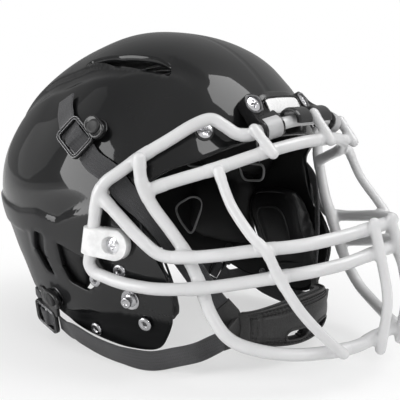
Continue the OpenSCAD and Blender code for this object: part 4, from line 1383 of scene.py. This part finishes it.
def build_bumper(look):
    rubber = finish_moulded("bumper_rubber", tinted(tuple(look.black), 0.8), 0.14, 0.00004, 700)
    body = patch_parts(
        BUMPER_AT, (BUMPER_HALF_W, 0, 0), (0, 3, BUMPER_HALF_H), 0.3, BUMPER_T, 5, 0.8, 18, 96
    )
    centre = np.array(TOP_MIDDLE) + (0, 0.6, -0.4)
    lobes = []
    for side in (-1, 1):
        stations = np.linspace(4.3, BUMPER_HALF_W, 14)
        rings = []
        for k, x in enumerate(stations):
            drop = 0.0 if 0 < k < 13 else 0.8
            outer, bore = BAR_R + 5.2 - drop, BAR_R + 2.4 + drop * 0.4
            turn = np.linspace(math.radians(-6), math.radians(186), 22)
            arc = [(outer * math.cos(a), outer * math.sin(a)) for a in turn]
            arc += [(bore * math.cos(a), bore * math.sin(a)) for a in turn[::-1]]
            rings.append(np.array([(side * x, centre[1] + c, centre[2] + s) for c, s in arc]))
        lobes.append(loft(rings))
    bridge = pillow_plate(box_outline(2 * BUMPER_HALF_W - 2, 13, 3), -1.9, 1.9, 0.9)
    bridge = (bridge[0] + (0, -138 + 8.5 + 6.2, 64.8), bridge[1])
    make_piece("moulded_bumper", joined(body, *lobes, bridge), rubber,
               stands_for=["front_bumper"], angle=40)
    white = finish_moulded("plate_white", tuple(look.plate), 0.2, 0.00002, 500, 1.02, 0.98)
    plate = patch_parts(
        PLATE_AT, (BUMPER_HALF_W - 1.5, 0, 0), (0, 2.6, 5.4), BUMPER_T + 0.3, BUMPER_T + 1.8, 7, 0.55, 12, 96
    )
    make_piece("blank_plate", plate, white, stands_for=["nameplate"], angle=50)
    _, rim_front = patch_rings(
        PLATE_AT, (BUMPER_HALF_W - 0.7, 0, 0), (0, 3.1, 6.5), BUMPER_T - 0.3, BUMPER_T + 1.2, 7, 1, 10, 96
    )
    make_piece("plate_surround", tube(looped(rim_front[-1]), 0.8, 10), rubber)


# ---- buckles, caps and webbing


# each buckle's stud, turn in degrees, and middle of its frame as seen from the stud
BUCKLES = {
    "upper": (UPPER_STUD_AT, 141.5, (-(BUCKLE_W / 2 + SOCKET_BORE + 0.3), 7)),
    "lower": (LOWER_STUD_AT, 163, (-25.5, 13)),
}


def buckle_spot(level, v):
    aim, turn, middle = BUCKLES[level]
    return place(np.asarray(v, float) + (*middle, 0), seat(aim, BUCKLE_LIFT, turn))


def build_buckles(look):
    black = finish_moulded("buckle_black", tuple(look.black), 0.1)
    bright = finish_metal("buckle_rim", tinted(tuple(look.chrome), 0.3), 0.2)
    flat = finish_moulded("cap_black", tuple(look.black), 0.45)
    outer = box_outline(BUCKLE_W, BUCKLE_LEN, 5.5, 7)
    inner = box_outline(BUCKLE_W - 2 * FRAME_RAIL + 0.6, BUCKLE_LEN - 2 * FRAME_RAIL, 2.5, 7)
    section = [
        (0.12, 0), (0, 0.5), (0, 2.5), (0.1, 3.3), (0.26, 3.6), (0.42, 3.35), (0.5, 2.9), (0.58, 2.9),
        (0.66, 3.3), (0.8, 3.5), (0.94, 3.2), (1, 2.5), (1, 0.6), (0.9, 0),
    ]
    ring = ring_plate(outer, inner, section)
    bar_r, bar_half = FRAME_BAR_H / 2, BUCKLE_W / 2 - 2
    bar = tube([(x, 0, bar_r) for x in (-bar_half, 0, bar_half)], bar_r, 16)
    tab_rings = [
        (0.5, 0), (0, 0.5), (0, SOCKET_H - 1.1), (0.35, SOCKET_H - 0.35), (1.1, SOCKET_H),
        (1.9, SOCKET_H - 0.25),
    ]
    lobe = stadium(SOCKET_R, TAB_REACH, 48)
    tab = loft([raised(shrunk(lobe, by), h) for by, h in tab_rings])
    edges = []
    for s, z, r in ((0.2, 3.52, 0.32), (0.84, 3.42, 0.26)):
        edges.append(tube(raised(looped(outer + (inner - outer) * s), z), r, 8))
    rim = joined(*edges)
    cap = lathe([
        (0.3, SOCKET_H - 0.8), (SOCKET_BORE + 1.1, SOCKET_H - 0.8), (SOCKET_BORE + 1.25, SOCKET_H + 0.3),
        (SOCKET_BORE + 0.9, SOCKET_H + 0.85), (SOCKET_BORE - 0.6, SOCKET_H + 1.2),
        (SOCKET_BORE - 1.2, SOCKET_H + 1.0), (0.3, SOCKET_H + 1.05),
    ], 44)
    for level, (aim, turn, middle) in BUCKLES.items():
        at = seat(aim, BUCKLE_LIFT, turn)
        centre = np.array((*middle, 0))
        start = middle[0] + BUCKLE_W / 2 - FRAME_RAIL
        top = middle[1] + TAB_REACH
        plate_outline = rounded_outline(
            ((start, -TAB_BELOW), (1, -TAB_BELOW - 1), (3.5, top), (start, top)), 3, 6
        )
        plate = pillow_plate(plate_outline, 0, TAB_T + 0.3, 0.7)
        parts = joined((ring[0] + centre, ring[1]), (bar[0] + centre, bar[1]), tab, plate)

        def build(side, turned):
            body = f"{level}_buckle_{side}_set"
            make_piece(
                f"moulded_{level}_buckle_{side}", placed(parts, at, turned), black, body,
                [f"{level}_buckle_{side}"], angle=45,
            )
            on_frame = (rim[0] + centre, rim[1])
            make_piece(f"{level}_buckle_rim_{side}", placed(on_frame, at, turned), bright, body)
            make_piece(
                f"domed_{level}_cap_{side}", placed(cap, at, turned), flat, body,
                [f"{level}_snap_cap_{side}"], angle=45,
            )

        both(build)


WRAP_END = FRAME_RAIL - BUCKLE_LEN / 2 + 0.6
TAILS = {"upper": (34, 10), "lower": (13, 4)}
LEAVE_LEN, LEAVE_DROP = 13, 0.7
OVER_BAR = FRAME_BAR_H + 0.9 + STRAP_T / 2
UNDER_FRAME = -0.3 - STRAP_T / 2


def along_shell(aim):
    return reach(np.asarray(aim, float), STRAP_T / 2 + 1.2)


def tail_keys(level):
    threaded = [
        (WRAP_END, 0.1), (-FRAME_BAR / 2 - 3.2, 1.7), (-FRAME_BAR / 2 - 0.7, OVER_BAR - 0.3), (0, OVER_BAR),
        (FRAME_BAR / 2 + 0.7, OVER_BAR - 0.3), (FRAME_BAR / 2 + 3.2, 1.5),
        (BUCKLE_LEN / 2 - FRAME_RAIL, UNDER_FRAME), (BUCKLE_LEN / 2 + 2, UNDER_FRAME),
    ]
    keys = [buckle_spot(level, (0, y, z)) for y, z in threaded]
    reach_back, lean = TAILS[level]
    for s in (0.35, 0.65, 1):
        keys.append(along_shell(buckle_spot(level, (lean * s * s, BUCKLE_LEN / 2 + reach_back * s, 0))))
    return keys


def leave_keys(level):
    drop = UNDER_FRAME - LEAVE_DROP
    return [
        buckle_spot(level, (-1.1, WRAP_END - 2.6, drop)),
        buckle_spot(level, (-1.6, WRAP_END - LEAVE_LEN, drop - 0.4)),
    ]


def web_out(points):
    lean = (away(points) - (0, 0.5, 0)) * smooth((-points[:, 1:2] - 50) / 25)
    return unit(shell_normal(points) + lean)


def ribbon(keys, width, thick, steps=14):
    """Flat webbing along a curve, with rounded edges; also its weave coordinates in centimetres."""
    path = curve(keys, steps)
    outs, t = web_out(path), headings(path)
    v = unit(outs - (outs * t).sum(1, keepdims=True) * t)
    w = np.cross(t, v)
    half, r = width / 2, thick / 2
    across = np.concatenate((np.linspace(-half + r, half - r, 13), np.linspace(half - r, -half + r, 13)))
    lift = np.concatenate((np.full(13, r), np.full(13, -r)))
    ends = [(half - r * 0.3, r * 0.7), (half, 0.0), (half - r * 0.3, -r * 0.7)]
    section = list(zip(across[:13], lift[:13])) + ends + list(zip(across[13:], lift[13:]))
    section += [(-a, -b) for a, b in ends]
    run = run_along(path)
    rings, uv = [], []
    for p, vv, ww, s in zip(path, v, w, run):
        rings.append(np.array([p + vv * b + ww * a for a, b in section]))
        uv += [(s / 10, a / 10) for a, _ in section]
    return loft(rings), np.array(uv)


UPPER_STRAP_KEYS = [
    (-105.5, -79.5, 2.5), (-98, -87.5, -10), (-89, -94.5, -26), (-78, -101.5, -45), (-67, -107, -63),
    (-56.4, -113, -77),
]
LOWER_STRAP_KEYS = [
    (-109.7, -8, -97.5), (-107.5, -30, -103.4), (-104.1, -53, -106.4), (-98.5, -75, -106.6), (-90, -92, -102),
    (-84, -106, -97), (-75, -114, -92), (-66, -117, -90), (-54.6, -118.3, -90),
]


def build_webbing(look):
    woven = finish_webbing("webbing_black", tuple(look.webbing))
    upper = leave_keys("upper")
    upper += [along_shell((-113.5, -52, 27)), along_shell((-111, -65, 14))] + UPPER_STRAP_KEYS
    lower = leave_keys("lower") + LOWER_STRAP_KEYS
    runs = {
        "upper_strap": (upper, None), "lower_strap": (lower, None),
        "upper_tail": (tail_keys("upper"), "upper"), "lower_tail": (tail_keys("lower"), "lower"),
    }
    for name, (keys, level) in runs.items():
        (points, faces), uv = ribbon([np.asarray(k, float) for k in keys], STRAP_W, STRAP_T)

        def build(side, turned):
            body = f"{level}_buckle_{side}_set" if level else "helmet"
            make_piece(
                f"woven_{name}_{side}", (turned(points), faces), woven, body, [f"{name}_{side}"],
                uv=uv,
            )

        both(build)


# ---- chin cup

CUP_END_Y, CUP_END_Z, CUP_SPAN = -116, -85, 78
# the slots' middle and half sizes, as degrees round the cup and shares of its half height
SLOT_AT, SLOT_HALF = (17, -0.47), (11.5, 0.24)
# rows of stitches: along the cup at shares of its half height, and up it at degrees round it
ROWS_ALONG, ROWS_UP = (0.9, 0.8, 0.69, -0.72, -0.84), (56, 60, 72, 75)
STITCH_HEIGHTS = ((-1, -0.45), (-0.6, 0.2), (0, 0.4), (0.6, 0.2), (1, -0.45))


def cup_point(a, v, out):
    """Point of the cup at an angle in degrees round it and v from its lower to its upper edge."""
    a, v = np.radians(np.asarray(a, float)), np.asarray(v, float)
    span = math.radians(CUP_SPAN)
    narrow = 1 - 0.42 * np.sin(a) ** 2
    curl = 1 - 0.16 * v * v
    x = (CUP_HALF_W + out) * np.sin(a) / math.sin(span)
    y = CUP_END_Y - (CUP_DEPTH + out) * (np.cos(a) - math.cos(span)) / (1 - math.cos(span)) * curl
    z = CUP_END_Z + CUP_HALF_H * v * narrow + 0 * a
    return np.stack(np.broadcast_arrays(x, y, z), -1)


def cup_grid(columns, rows, out_face, in_face, crown):
    """A closed curved panel, fuller at its middle by crown, with rounded edges."""
    a = np.linspace(-CUP_SPAN, CUP_SPAN, columns)
    v = np.linspace(-1, 1, rows)
    av, vv = np.meshgrid(a, v)
    rim = (1 - np.abs(av / CUP_SPAN) ** 8) * (1 - np.abs(vv) ** 6)
    seam = np.exp(-((np.abs(vv) - 0.62) / 0.05) ** 2) + np.exp(-((np.abs(av) - 52) / 1.2) ** 2)
    swell = crown * (np.clip(rim, 0, 1) ** 0.35 - 1) - 0.7 * np.minimum(seam, 1) * (crown > 0)
    outer = cup_point(av, vv, out_face + swell)
    inner = cup_point(av, vv, in_face - swell * 0.3)
    return outer, inner, av, vv


def grid_solid(outer, inner, kept=None):
    rows, columns = outer.shape[:2]
    size = rows * columns
    kept = np.ones((rows - 1, columns - 1), bool) if kept is None else kept
    points = np.concatenate((outer.reshape(-1, 3), inner.reshape(-1, 3)))
    faces = []
    border = {}
    for i, j in zip(*np.nonzero(kept)):
        a, b, c, d = i * columns + j, i * columns + j + 1, (i + 1) * columns + j + 1, (i + 1) * columns + j
        a, b, c, d = int(a), int(b), int(c), int(d)
        faces += [(a, b, c, d), (size + d, size + c, size + b, size + a)]
        for e in ((a, b), (b, c), (c, d), (d, a)):
            key = (min(e), max(e))
            border[key] = None if key in border else e
    for e in border.values():
        if e:
            faces.append((e[1], e[0], e[0] + size, e[1] + size))
    return points, faces


def stitches(spots, normals, ways, length=2.6, radius=0.42):
    """Short threads that lie on a surface along a row."""
    parts = []
    for p, n, w in zip(spots, normals, ways):
        w = unit(w - n * np.dot(w, n))
        parts.append(tube([p + w * s * length / 2 + n * h for s, h in STITCH_HEIGHTS], radius, 6))
    return joined(*parts)


def cup_row(a_values, v_values, out=0.3):
    spots = cup_point(a_values, v_values, out)
    normals = unit(cup_point(a_values, v_values, 2) - cup_point(a_values, v_values, 0))
    return spots, normals, headings(spots)


def slotted_panel(columns, rows, out_face, in_face, crown, margin):
    """A panel of the cup without the cells that lie in its two slots, which margin widens."""
    outer, inner, av, vv = cup_grid(columns, rows, out_face, in_face, crown)
    a, v = (av[:-1, :-1] + av[1:, 1:]) / 2, (vv[:-1, :-1] + vv[1:, 1:]) / 2
    hole = np.zeros_like(a, bool)
    for side in (-1, 1):
        across, up = (a - side * SLOT_AT[0]) / SLOT_HALF[0], (v - SLOT_AT[1]) / SLOT_HALF[1]
        hole |= across**4 + up**2 < margin
    return grid_solid(outer, inner, ~hole)


def build_cup(look):
    hide = finish_leather("cup_hide", tuple(look.cup))
    knit = finish_knit("cup_knit", (0.03, 0.03, 0.031))
    thread = finish_thread("cup_thread", (0.028, 0.027, 0.027))
    panel = slotted_panel(150, 44, 0, -CUP_WALL, 1.1, 1)
    cup = make_piece("padded_cup", panel, hide, stands_for=["chin_cup"], angle=60)
    panel = slotted_panel(110, 30, -CUP_WALL - 0.35, -CUP_WALL - 5, 0.0, 1.1)
    lining = make_piece("knit_cup_lining", panel, knit, stands_for=["cup_lining"], angle=60)
    rows = []
    for v in ROWS_ALONG:
        a = np.arange(-49, 49.1, 3.6)
        rows.append(stitches(*cup_row(a, np.full(len(a), v), 0.0)))
    for a0 in ROWS_UP:
        for side in (-1, 1):
            v = np.arange(-0.82, 0.83, 0.3)
            rows.append(stitches(*cup_row(np.full(len(v), side * a0), v, -0.3)))
    make_piece("cup_stitches", joined(*rows), thread)
    for side in (-1, 1):
        t = turns(48)
        ring_a = side * SLOT_AT[0] + SLOT_HALF[0] * 1.04 * np.sign(np.cos(t)) * np.abs(np.cos(t)) ** 0.5
        ring_v = SLOT_AT[1] + SLOT_HALF[1] * 1.15 * np.sin(t)
        binding = tube(looped(cup_point(ring_a, ring_v, 0.1)), 0.9, 10)
        make_piece(f"cup_slot_binding_{'left' if side > 0 else 'right'}", binding, hide)
    welts = []
    a = np.linspace(-CUP_SPAN + 3, CUP_SPAN - 3, 90)
    for v, radius, sunk in ((0.97, 1.3, 0.6), (0.76, 0.7, 0.3), (-0.96, 1.1, 0.6)):
        welts.append(tube(cup_point(a, np.full(90, v), -sunk), radius, 10, rounding=radius * 0.6))
    make_piece("cup_welts", joined(*welts), hide)

    def gusset(side, turned):
        for level, keys in (("upper", UPPER_STRAP_KEYS[-2:]), ("lower", LOWER_STRAP_KEYS[-2:])):
            start, end = (np.asarray(k, float) for k in keys)
            near_end = [end + unit(start - end) * 12, end + unit(start - end) * 6, end]
            (points, _), _ = ribbon(near_end, STRAP_W + 1.6, STRAP_T + 1.6, 2)
            v = np.linspace(-0.9, 0.9, 9)
            corners = [(a, out) for a in (CUP_SPAN, CUP_SPAN - 5) for out in (0.9, 1 - CUP_WALL)]
            rim = [cup_point(np.full(9, -a), v, out) for a, out in corners]
            hull_piece(f"cup_{level}_gusset_{side}", [points] + rim, hide, None, 0.7, turned)

    both(gusset)
    tabs = []
    for side in (-1, 1):
        a = np.linspace(62, CUP_SPAN, 10) * side
        v = np.linspace(-0.9, 0.9, 14)
        aa, vt = np.meshgrid(a, v)
        lift = 0.4 + 0.9 * (1 - np.abs(vt / 0.9) ** 6)
        tabs.append(grid_solid(cup_point(aa, vt, lift), cup_point(aa, vt, -0.2)))
    make_piece("cup_end_tabs", joined(*tabs), hide, angle=50)


# ---- pads


COVER_VOXEL = 0.005
CLOTH_PRESSURE, CLOTH_QUALITY, CLOTH_STEPS = 4.0, 4, 20


def swollen(obj, cap):
    """Blows a pad's cover up as cloth and keeps the shape, with no point moved by more than cap."""
    settle(obj, ("REMESH", {"mode": "VOXEL", "voxel_size": COVER_VOXEL}))
    start = points_of(obj.data)
    cloth = obj.modifiers.new("cover", "CLOTH")
    cloth.settings.use_pressure = True
    cloth.settings.uniform_pressure_force = CLOTH_PRESSURE
    cloth.settings.quality = CLOTH_QUALITY
    cloth.settings.effector_weights.gravity = 0
    scene = bpy.context.scene
    for step in range(1, CLOTH_STEPS + 1):
        scene.frame_set(step)
    graph = bpy.context.evaluated_depsgraph_get()
    made = bpy.data.meshes.new_from_object(obj.evaluated_get(graph))
    obj.modifiers.clear()
    scene.frame_set(1)
    move = points_of(made) - start
    far = np.linalg.norm(move, axis=1, keepdims=True)
    move *= np.minimum(1, cap / np.maximum(far, 1e-9))
    obj.data.vertices.foreach_set("co", (start + move).ravel())
    bpy.data.meshes.remove(made)
    settle(obj, ("SUBSURF", {"levels": 1, "render_levels": 1}))
    shade(obj.data)
    return obj


def face_line(spec, s, n, lift, count=96):
    """A closed line on a pad's inner face, at a share s of the way to its edge."""
    aim, e1, e2, back, face = spec
    aim, e1, e2 = (np.asarray(v, float) for v in (aim, e1, e2))
    q = squircle(turns(count), n) * s
    spots = aim + e1 * q[:, :1] + e2 * q[:, 1:]
    rise = 0.35 + 0.65 * (1 - np.clip(np.linalg.norm(q, axis=1), 0, 1) ** 4) ** 0.6
    return reach(spots, back) + unit(spots) * ((face - back) * rise[:, None] - lift)


LINER_BACK = -SHELL_WALL - 1 - PAD_GAP
FRONT_BACK = -SHELL_WALL - 0.5 - 3.4 - PAD_GAP
JAW_BACK = -SHELL_WALL - 0.5 - 3.4 - 1
PADS = {
    "front_pad": ((0, -112, 72), (62, 0, 0), (0, 8, 17), FRONT_BACK, FRONT_BACK - LINER_T * 0.7, 3),
    "crown_pad": ((0, 6, 120), (48, 0, 0), (0, 62, 0), LINER_BACK, LINER_BACK - LINER_T, 3),
    "rear_pad": ((0, 140, -4), (72, 0, 0), (0, -14, 52), LINER_BACK, LINER_BACK - LINER_T, 3),
    "side_pad_right": ((-112, 8, 36), (0, 54, 0), (8, 0, 40), LINER_BACK, LINER_BACK - LINER_T, 3),
    "jaw_pad_right": ((-100, -60.2, -48), (0, 37, -4), (0, 21, 42), JAW_BACK, JAW_BACK - JAW_PAD_T, 3.4),
}
EAR_LOBE = ((-108, 22, -37), (0, 43, 0), (0, 0, 39), LINER_BACK, LINER_BACK - LINER_T * 0.9, 5)


# closed painted highlight lines on the side pads' inner faces, light cords that stand in for pad edges
# catching light, as pairs of y and z with how far they lie inside the shell
SIDE_HIGHLIGHT_LINES = (
    (((59, -33), (43, -22), (31, -27), (38, -60), (52, -46)), LINER_BACK - LINER_T * 0.9 + 0.6),
    (((-8, 13), (-40, 14), (-37, -1), (-12, -3)), LINER_BACK - LINER_T + 2.2),
    (((50, 6), (14, 6), (18, 44), (44, 40)), LINER_BACK - LINER_T + 0.8),
)


PAD_INSET, LOBE_SHARE = 1.5, 0.96


# painted highlight: a light cord along an outline on a side pad's face
def highlight_line_parts(corners, out):
    outline = rounded_outline(corners, 7, 6)
    return tube(looped(on_surface(outline, 0, -140, -40, out)), 1.1, 10)


def cover_parts(aim, e1, e2, back, face, n):
    return patch_parts(aim, e1, e2, back - 1.2, face + 2.0, n, 0.4, 12, 64)


def build_pads(look):
    vinyl = finish_vinyl("pad_vinyl", tuple(look.pad))
    jaw = finish_vinyl("jaw_pad_vinyl", tinted(tuple(look.pad), 1.3), 600, 0.2)
    # painted highlight: the light cords round the pads stand in for their edges catching light
    painted_pad_highlight = finish_vinyl("pad_painted_highlight", tuple(look.painted_pad_highlight), 1400)
    jaw_painted_highlight = finish_vinyl("jaw_pad_painted_highlight", tinted(tuple(look.pad), 2.2), 1400)
    for name, (aim, e1, e2, back, face, n) in PADS.items():
        on_jaw, at_side = name.startswith("jaw"), name.startswith("side")
        skin, painted_highlight_finish, slot = (jaw, jaw_painted_highlight, "jaw_pads") if on_jaw else (vinyl, painted_pad_highlight, "liner_pads")
        shares = (0.86, 0.5) if on_jaw else (0.84, 0.62)

        def dressed(node, cover, painted_highlight_lines, swell=0):
            body = f"{node}_body" if on_jaw else "helmet"
            made = make_piece(f"cover_{node}", cover, skin, body, [node])
            if swell:
                swollen(made, swell)
            # painted highlight: the light cord round the pad
            make_piece(f"painted_highlight_{node}", painted_highlight_lines, painted_highlight_finish, body)
            return made

        e1s, e2s = (np.asarray(e, float) * (1 - PAD_INSET / np.linalg.norm(e)) for e in (e1, e2))
        parts = cover_parts(aim, e1s, e2s, back, face, n)
        if at_side:
            lobe_at, l1, l2, *rest = EAR_LOBE
            l1, l2 = (np.asarray(e, float) * LOBE_SHARE for e in (l1, l2))
            parts = joined(parts, cover_parts(lobe_at, l1, l2, *rest))
        lines = []
        for s, radius in zip(shares, (0.9, 0.7)):
            lines.append(tube(looped(face_line((aim, e1, e2, back, face), s, n, 0.6)), radius, 10))
        if at_side:
            lines = lines[:1] + [highlight_line_parts(corners, out) for corners, out in SIDE_HIGHLIGHT_LINES]
        painted_highlight_lines = joined(*lines)
        cover = dressed(name, parts, painted_highlight_lines, look.swell)
        if name.endswith("_right"):
            twin = (flip(points_of(cover.data) / MM), faces_of(cover.data))
            dressed(name.replace("_right", "_left"), twin, (flip(painted_highlight_lines[0]), painted_highlight_lines[1]))


def dress_nuts():
    zinc = finish_metal("nut_zinc", (0.55, 0.55, 0.57), 0.3, 0.00002)
    for node in ("top_clip_nuts", "side_clip_nuts", "brow_nuts"):
        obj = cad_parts[node]
        for slot in obj.material_slots:
            slot.material = zinc


# ---- studio


# azimuth, elevation, distance, radius and strength against the key of each softbox
SOFTBOXES = {
    "front": (-55, 53, 1.6, 0.49, 1),
    "side": (151.3, 13.6, 1.6, 0.6, 1),
    "rear": (106.5, 13.7, 1.7, 0.42, 0.1),
    "top": (117.7, 35.9, 1.8, 0.44, 0.09),
    "brow": (-108.2, 29.3, 1.8, 0.32, 1.2),
}
FLOOR_GAP, FLOOR_HALF = 0.0005, 6
# distances from the middle between which the floor fades, and where reflections of the surround dim to a share
FLOOR_FADE = (0.1, 0.34)
DIM_FROM, DIM_TO, DIM_SHARE = -0.1, 0.75, 0.4
SENSOR_MM, LENS_MM = 36.0, 72.0
CAMERA_AT = (-0.49202, -0.45086, 0.10049)
CAMERA_BACK, CAMERA_RIGHT = (-0.7555, -0.634, 0.165), (0.6428, -0.766, 0.0)
WHITE = (1, 1, 1)


def redirected(f, surface):
    """Shows another surface in place of a finish's own shader."""
    output = next(n for n in f.tree.nodes if n.type == "OUTPUT_MATERIAL")
    f.feed(output.inputs["Surface"], surface)


def softbox(name, azimuth, elevation, distance, radius, strength):
    """An eight-sided lit panel that faces the object; the camera doesn't see it, only its reflection."""
    f = Finish(name)
    glow = f.add("ShaderNodeEmission", inputs={"Color": WHITE, "Strength": strength})
    redirected(f, f.blended(f.ray("Camera"), glow, f.add("ShaderNodeBsdfTransparent")))
    f.tree.nodes.remove(f.shader)
    a, e = math.radians(azimuth), math.radians(elevation)
    way = Vector((math.cos(a) * math.cos(e), math.sin(a) * math.cos(e), math.sin(e)))
    angles = [k * math.pi / 4 + math.pi / 8 for k in range(8)]
    mesh = bpy.data.meshes.new(name)
    mesh.from_pydata([(radius * math.cos(t), radius * math.sin(t), 0) for t in angles], [], [tuple(range(8))])
    mesh.materials.append(f.material)
    obj = linked(name, mesh)
    obj.location = way * distance
    obj.rotation_euler = (-way).to_track_quat("Z", "Y").to_euler()
    obj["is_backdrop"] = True


def build_floor(look):
    """A pale floor that fades into the white surround before the camera."""
    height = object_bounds()[0].z - FLOOR_GAP
    f = Finish("studio_floor", Specular_IOR_Level=0.2)
    tone = f.noise(6, 2)
    colour = tuple(look.floor)
    f.set(Roughness=0.85 + tone * 0.05, Base_Color=f.mixed(tone, tinted(colour, 0.995), colour))
    away_by = (f.place(0) ** 2 + f.place(1) ** 2) ** 0.5
    fade = away_by.ramp(*FLOOR_FADE) * 0.45 + 0.55
    glow = f.add("ShaderNodeEmission", inputs={"Strength": 1.0})
    redirected(f, f.blended(f.ray("Camera") * fade, Field(f, f.shader.outputs[0]), glow))
    mesh = bpy.data.meshes.new("studio_floor")
    work = bmesh.new()
    bmesh.ops.create_grid(work, x_segments=24, y_segments=24, size=FLOOR_HALF)
    work.to_mesh(mesh)
    work.free()
    mesh.materials.append(f.material)
    floor = linked("studio_floor", mesh)
    floor.location = (0, 0, height)
    floor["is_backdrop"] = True


def build_surround(look):
    """A white world; behind the helmet it is dimmer in reflections, as in a studio lit from the front."""
    world = bpy.data.worlds.new("studio_surround")
    bpy.context.scene.world = world
    w = Nodes(world)
    ahead = w.split(w.add("ShaderNodeTexCoord", out="Generated"), "Y")
    rear = w.add("ShaderNodeMapRange", inputs={"Value": ahead, "From Min": DIM_FROM, "From Max": DIM_TO})
    level = w.add("ShaderNodeMapRange", inputs={
        "Value": rear * w.ray("Glossy"), "To Min": look.fill, "To Max": look.fill * DIM_SHARE,
    })
    lit = w.add("ShaderNodeBackground", inputs={"Color": WHITE, "Strength": level})
    seen = w.add("ShaderNodeBackground", inputs={"Color": WHITE, "Strength": 1.0})
    direct = w.ray("Camera").most(w.ray("Transmission"))
    w.output("ShaderNodeOutputWorld", w.blended(direct, lit, seen))


def build_camera():
    back, right = Vector(CAMERA_BACK).normalized(), Vector(CAMERA_RIGHT).normalized()
    up = back.cross(right).normalized()
    camera = bpy.data.cameras.new("product_camera")
    camera.sensor_width, camera.lens = SENSOR_MM, LENS_MM
    camera.clip_start, camera.clip_end = 0.01, 50
    obj = linked("product_camera", camera)
    turn = Matrix((right, up, back)).transposed().to_4x4()
    obj.matrix_world = Matrix.Translation(CAMERA_AT) @ turn
    bpy.context.scene.camera = obj


def build_studio(look):
    bpy.context.scene.view_settings.view_transform = "Standard"
    build_floor(look)
    build_surround(look)
    for name, (azimuth, elevation, distance, radius, share) in SOFTBOXES.items():
        softbox(f"{name}_softbox", azimuth, elevation, distance, radius, look.key * share)
    build_camera()


# ---- operators, panel and registration


class HELMET_OT_shell(Operator):
    """Builds the glossy shell with its vents and moulded forms"""

    bl_idname = "helmet.shell"
    bl_label = "Shell"

    def execute(self, context):
        build_shell(context.scene.helmet_shell)
        return {"FINISHED"}


class HELMET_OT_guard(Operator):
    """Builds the twelve coated bars of the face guard and their welds"""

    bl_idname = "helmet.guard"
    bl_label = "Face guard"

    def execute(self, context):
        build_guard(context.scene.helmet_guard)
        return {"FINISHED"}


class HELMET_OT_screws(Operator):
    """Builds the clip and brow screws and dresses their nuts"""

    bl_idname = "helmet.screws"
    bl_label = "Screws and nuts"

    def execute(self, context):
        build_screws(context.scene.helmet_fittings)
        dress_nuts()
        return {"FINISHED"}


class HELMET_OT_studs(Operator):
    """Builds the snap studs and the jaw pads' rivets"""

    bl_idname = "helmet.studs"
    bl_label = "Studs and rivets"

    def execute(self, context):
        build_studs(context.scene.helmet_fittings)
        return {"FINISHED"}


class HELMET_OT_clips(Operator):
    """Builds the top clips and the side clips that hold the guard"""

    bl_idname = "helmet.clips"
    bl_label = "Guard clips"

    def execute(self, context):
        build_top_clips(context.scene.helmet_fittings)
        build_side_clips(context.scene.helmet_fittings)
        return {"FINISHED"}


class HELMET_OT_bumper(Operator):
    """Builds the front bumper and its blank plate"""

    bl_idname = "helmet.bumper"
    bl_label = "Bumper"

    def execute(self, context):
        build_bumper(context.scene.helmet_fittings)
        return {"FINISHED"}


class HELMET_OT_buckles(Operator):
    """Builds the four buckles with their snap caps"""

    bl_idname = "helmet.buckles"
    bl_label = "Buckles"

    def execute(self, context):
        build_buckles(context.scene.helmet_fittings)
        return {"FINISHED"}


class HELMET_OT_webbing(Operator):
    """Builds the chin strap's webbing"""

    bl_idname = "helmet.webbing"
    bl_label = "Webbing"

    def execute(self, context):
        build_webbing(context.scene.helmet_soft)
        return {"FINISHED"}


class HELMET_OT_cup(Operator):
    """Builds the chin cup with its lining and stitches"""

    bl_idname = "helmet.cup"
    bl_label = "Chin cup"

    def execute(self, context):
        build_cup(context.scene.helmet_soft)
        return {"FINISHED"}


class HELMET_OT_pads(Operator):
    """Builds the liner pads and jaw pads with the light cords round them, a painted highlight of their edges
    """

    bl_idname = "helmet.pads"
    bl_label = "Pads"

    def execute(self, context):
        build_pads(context.scene.helmet_soft)
        return {"FINISHED"}


class HELMET_OT_studio(Operator):
    """Sets up the floor, the lights and the camera"""

    bl_idname = "helmet.studio"
    bl_label = "Studio"

    def execute(self, context):
        build_studio(context.scene.helmet_studio)
        return {"FINISHED"}


OPERATORS = (
    HELMET_OT_shell, HELMET_OT_guard, HELMET_OT_screws, HELMET_OT_studs, HELMET_OT_clips, HELMET_OT_bumper,
    HELMET_OT_buckles, HELMET_OT_webbing, HELMET_OT_cup, HELMET_OT_pads, HELMET_OT_studio,
)
LOOKS = (
    ("helmet_shell", HelmetShellLook), ("helmet_guard", HelmetGuardLook),
    ("helmet_fittings", HelmetFittingLook), ("helmet_soft", HelmetSoftLook),
    ("helmet_studio", HelmetStudioLook),
)


class HELMET_PT_builder(Panel):
    bl_label = "Football helmet"
    bl_idname = "HELMET_PT_builder"
    bl_space_type = "VIEW_3D"
    bl_region_type = "UI"
    bl_category = "Helmet"

    def draw(self, context):
        for name, look in LOOKS:
            box = self.layout.box()
            group = getattr(context.scene, name)
            for key in look.__annotations__:
                box.prop(group, key)
        for operator in OPERATORS:
            self.layout.operator(operator.bl_idname)


def register():
    for name, look in LOOKS:
        bpy.utils.register_class(look)
        setattr(bpy.types.Scene, name, PointerProperty(type=look))
    for operator in OPERATORS:
        bpy.utils.register_class(operator)
    bpy.utils.register_class(HELMET_PT_builder)


def unregister():
    bpy.utils.unregister_class(HELMET_PT_builder)
    for operator in reversed(OPERATORS):
        bpy.utils.unregister_class(operator)
    for name, look in reversed(LOOKS):
        delattr(bpy.types.Scene, name)
        bpy.utils.unregister_class(look)


def main():
    register()
    bpy.ops.helmet.shell()
    bpy.ops.helmet.guard()
    bpy.ops.helmet.screws()
    bpy.ops.helmet.studs()
    bpy.ops.helmet.clips()
    bpy.ops.helmet.bumper()
    bpy.ops.helmet.buckles()
    bpy.ops.helmet.webbing()
    bpy.ops.helmet.cup()
    bpy.ops.helmet.pads()
    bpy.ops.helmet.studio()


if __name__ == "__main__":
    main()
